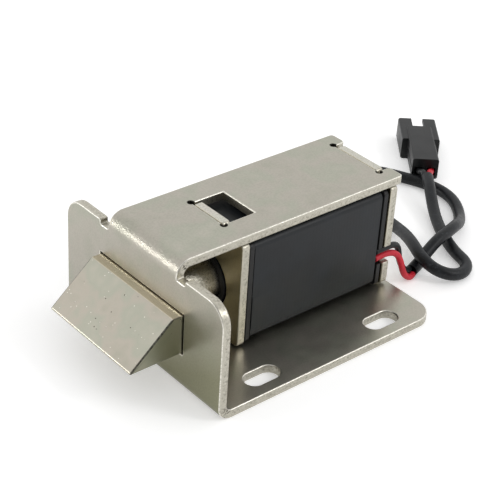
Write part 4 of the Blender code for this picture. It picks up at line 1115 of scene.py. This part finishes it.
def housing():
    """Head and tail in one, hollowed for the mating plug and the contacts, with an open latch window."""
    head_outline = box_outline(centred(HEAD_WIDTH), (0.0, HEAD_HEIGHT), HOUSING_CORNER)
    tail_outline = box_outline(centred(TAIL_WIDTH), TAIL_HEIGHTS, HOUSING_CORNER)
    head = prism(head_outline, TAIL_LENGTH, HOUSING_END, ALONG_X)
    tail = prism(tail_outline, 0.0, LATCH_X - HOUSING_WALL, ALONG_X)
    beyond = HOUSING_END + SHEET
    hollow_heights = (HOUSING_WALL, HEAD_HEIGHT - HOUSING_WALL)
    passage_heights = (HEAD_HEIGHT / 2 - PASSAGE_HALF, HEAD_HEIGHT / 2 + PASSAGE_HALF)
    tools = [
        block((SOCKET_X, beyond), 0.0, HEAD_WIDTH / 2 - HOUSING_WALL, hollow_heights),
        block((LATCH_X, beyond), 0.0, LATCH_HALF, LATCH_HEIGHTS),
    ]
    for side in (-1, 1):
        tools.append(block((-SHEET, PASSAGE_END), side * CONTACT_OFFSET, PASSAGE_HALF, passage_heights))
        # The mould's halves part at the grooves.
        tools.append(block(GROOVE_ENDS, side * TAIL_WIDTH / 2, GROOVE_HALF, GROOVE_HEIGHTS))
    made = worked(worked(head, weld=[tail], cut=tools), edge=HOUSING_EDGE, steps=2)
    made.transform(SEAT)
    return made


housing_nylon = moulded_plastic(
    "black_nylon_moulded", "0C0D0E", "141617", roughness=0.36, grain_mm=0.5, ior=1.45
)
housing_piece = piece("housing", housing(), [housing_nylon], "frame", "housing_nylon", "connector_housing")
tin = turned_metal("tin_on_brass", "B9B7B0", "DAD8D2", roughness=0.26, pitch_mm=0.5)
tail_start = Vector(sleeve_points[-1])
tail_ahead = (tail_start - Vector(sleeve_points[-2])).normalized()
tail_left = up.cross(tail_ahead).normalized()
for name, side, finish in (("red", -1, red_vinyl), ("black", 1, black_vinyl)):
    y, z = side * CONTACT_OFFSET, HEAD_HEIGHT / 2
    contact = lying(CONTACT_PROFILE, sides=32)
    contact.transform(SEAT @ Matrix.Translation((CONTACT_X, y, z)))
    piece(name + "_pin", contact, [tin], "frame", "tinned_contact", name + "_contact")
    start = tail_start + tail_ahead * SEAT_GAP + tail_left * side * (LEAD_RADIUS + 0.05 * MM)
    points = [start, start + tail_ahead * 2 * LEAD_RADIUS]
    points += [SEAT @ Vector((0.0, y, z)), SEAT @ Vector((CONTACT_X - SEAT_GAP, y, z))]
    route = smooth_route([tuple(point) for point in points], LEAD_STEP)
    piece(name + "_tail", wire(route), [finish], "frame", name + "_vinyl", name + "_lead_tail")


# Table and light: a white sheet under the lock, which keeps the lock's soft shadow, a white room whose
# near wall is darker, and two soft lamps. The room lights the lock at a plain level and is seen as white.

TABLE_HALF = 3.0
TABLE_DROP = 0.02 * MM
LAMP_AIM = Vector((10 * MM, 0, 12 * MM))


def seen_directly(add):
    """1 for what the camera sees, straight or in metal or glass, and 0 for light that falls on things."""
    path = add("LightPath").outputs
    straight = add("Math", {0: path["Is Camera Ray"], 1: path["Is Glossy Ray"]}, operation="MAXIMUM")
    return add("Math", {0: straight, 1: path["Is Transmission Ray"]}, operation="MAXIMUM")


sheet_bm = bmesh.new()
bmesh.ops.create_grid(sheet_bm, x_segments=1, y_segments=1, size=TABLE_HALF)
floor = bpy.data.objects.new("table", as_mesh(sheet_bm))
floor.location = (0, 0, -TABLE_DROP)
bpy.context.scene.collection.objects.link(floor)
paper, add, shader, place = new_finish("white_paper", Roughness=0.9, Base_Color=linear("F2F2F2"))
eye = add("LightPath").outputs["Is Camera Ray"]
lift = add("MapRange", {"Value": eye, 3: 0.19, 4: 0.28})
glow = add("Emission", {"Color": linear("FFFFFF"), "Strength": lift})
lit = add("AddShader", {0: shader, 1: glow})
seen = add("MixShader", {0: seen_directly(add), 1: shader, 2: lit})
connect(paper.node_tree.nodes["Material Output"], {"Surface": seen})
floor.data.materials.append(paper)

room = bpy.data.worlds.new("room")
room.use_nodes = True
bpy.context.scene.world = room
add = functools.partial(add_node, room.node_tree)
direction = add("TexCoord").outputs["Generated"]
nearness = add("VectorMath", {0: direction, 1: (-0.54, -0.62, 0.57)}, operation="DOT_PRODUCT")
wall = add("MapRange", {"Value": nearness, 1: 0.25, 2: 0.8, 3: 1.0, 4: 0.3})
reflected = add("MapRange", {"Value": seen_directly(add), 3: 0.88, 4: wall})
eye = add("LightPath").outputs["Is Camera Ray"]
strength = add("Math", {0: reflected, 1: eye}, operation="MAXIMUM")
connect(room.node_tree.nodes["Background"], {"Color": linear("FFFFFF"), "Strength": strength})


def soft_lamp(name, place, size, radiance):
    """Square lamp that faces the lock. Its power is its radiance times pi times its area."""
    light = bpy.data.lights.new(name, "AREA")
    light.size = size
    light.energy = radiance * math.pi * size**2
    lamp = bpy.data.objects.new(name, light)
    bpy.context.scene.collection.objects.link(lamp)
    lamp.location = place
    lamp.rotation_euler = (LAMP_AIM - Vector(place)).to_track_quat("-Z", "Y").to_euler()


soft_lamp("left_lamp", (-0.92, 0.74, 0.20), size=0.20, radiance=15.0)
soft_lamp("right_lamp", (0.54, -0.80, 0.73), size=0.26, radiance=11.0)


# Camera: at the photograph's place, fitted to the bracket's edges.

CAMERA_PLACE = Vector((-168.887, -193.242, 179.534)) * MM
CAMERA_AZIMUTH = math.radians(-41.859)
CAMERA_ELEVATION = math.radians(32.161)
CAMERA_ROLL = math.radians(3.778)
CAMERA_LENS = 102.965

level = math.cos(CAMERA_ELEVATION)
back = Vector(
    (math.sin(CAMERA_AZIMUTH) * level, -math.cos(CAMERA_AZIMUTH) * level, math.sin(CAMERA_ELEVATION))
)
right = (-back).cross(up).normalized()
upper = right.cross(-back)
across = right * math.cos(CAMERA_ROLL) + upper * math.sin(CAMERA_ROLL)
above = upper * math.cos(CAMERA_ROLL) - right * math.sin(CAMERA_ROLL)
lens = bpy.data.cameras.new("camera")
lens.lens = CAMERA_LENS
lens.sensor_width = 36.0
lens.clip_start = 0.01
camera = bpy.data.objects.new("camera", lens)
bpy.context.scene.collection.objects.link(camera)
camera.matrix_world = Matrix.Translation(CAMERA_PLACE) @ Matrix((across, above, back)).transposed().to_4x4()
bpy.context.scene.camera = camera
bpy.context.scene.view_settings.view_transform = "Standard"
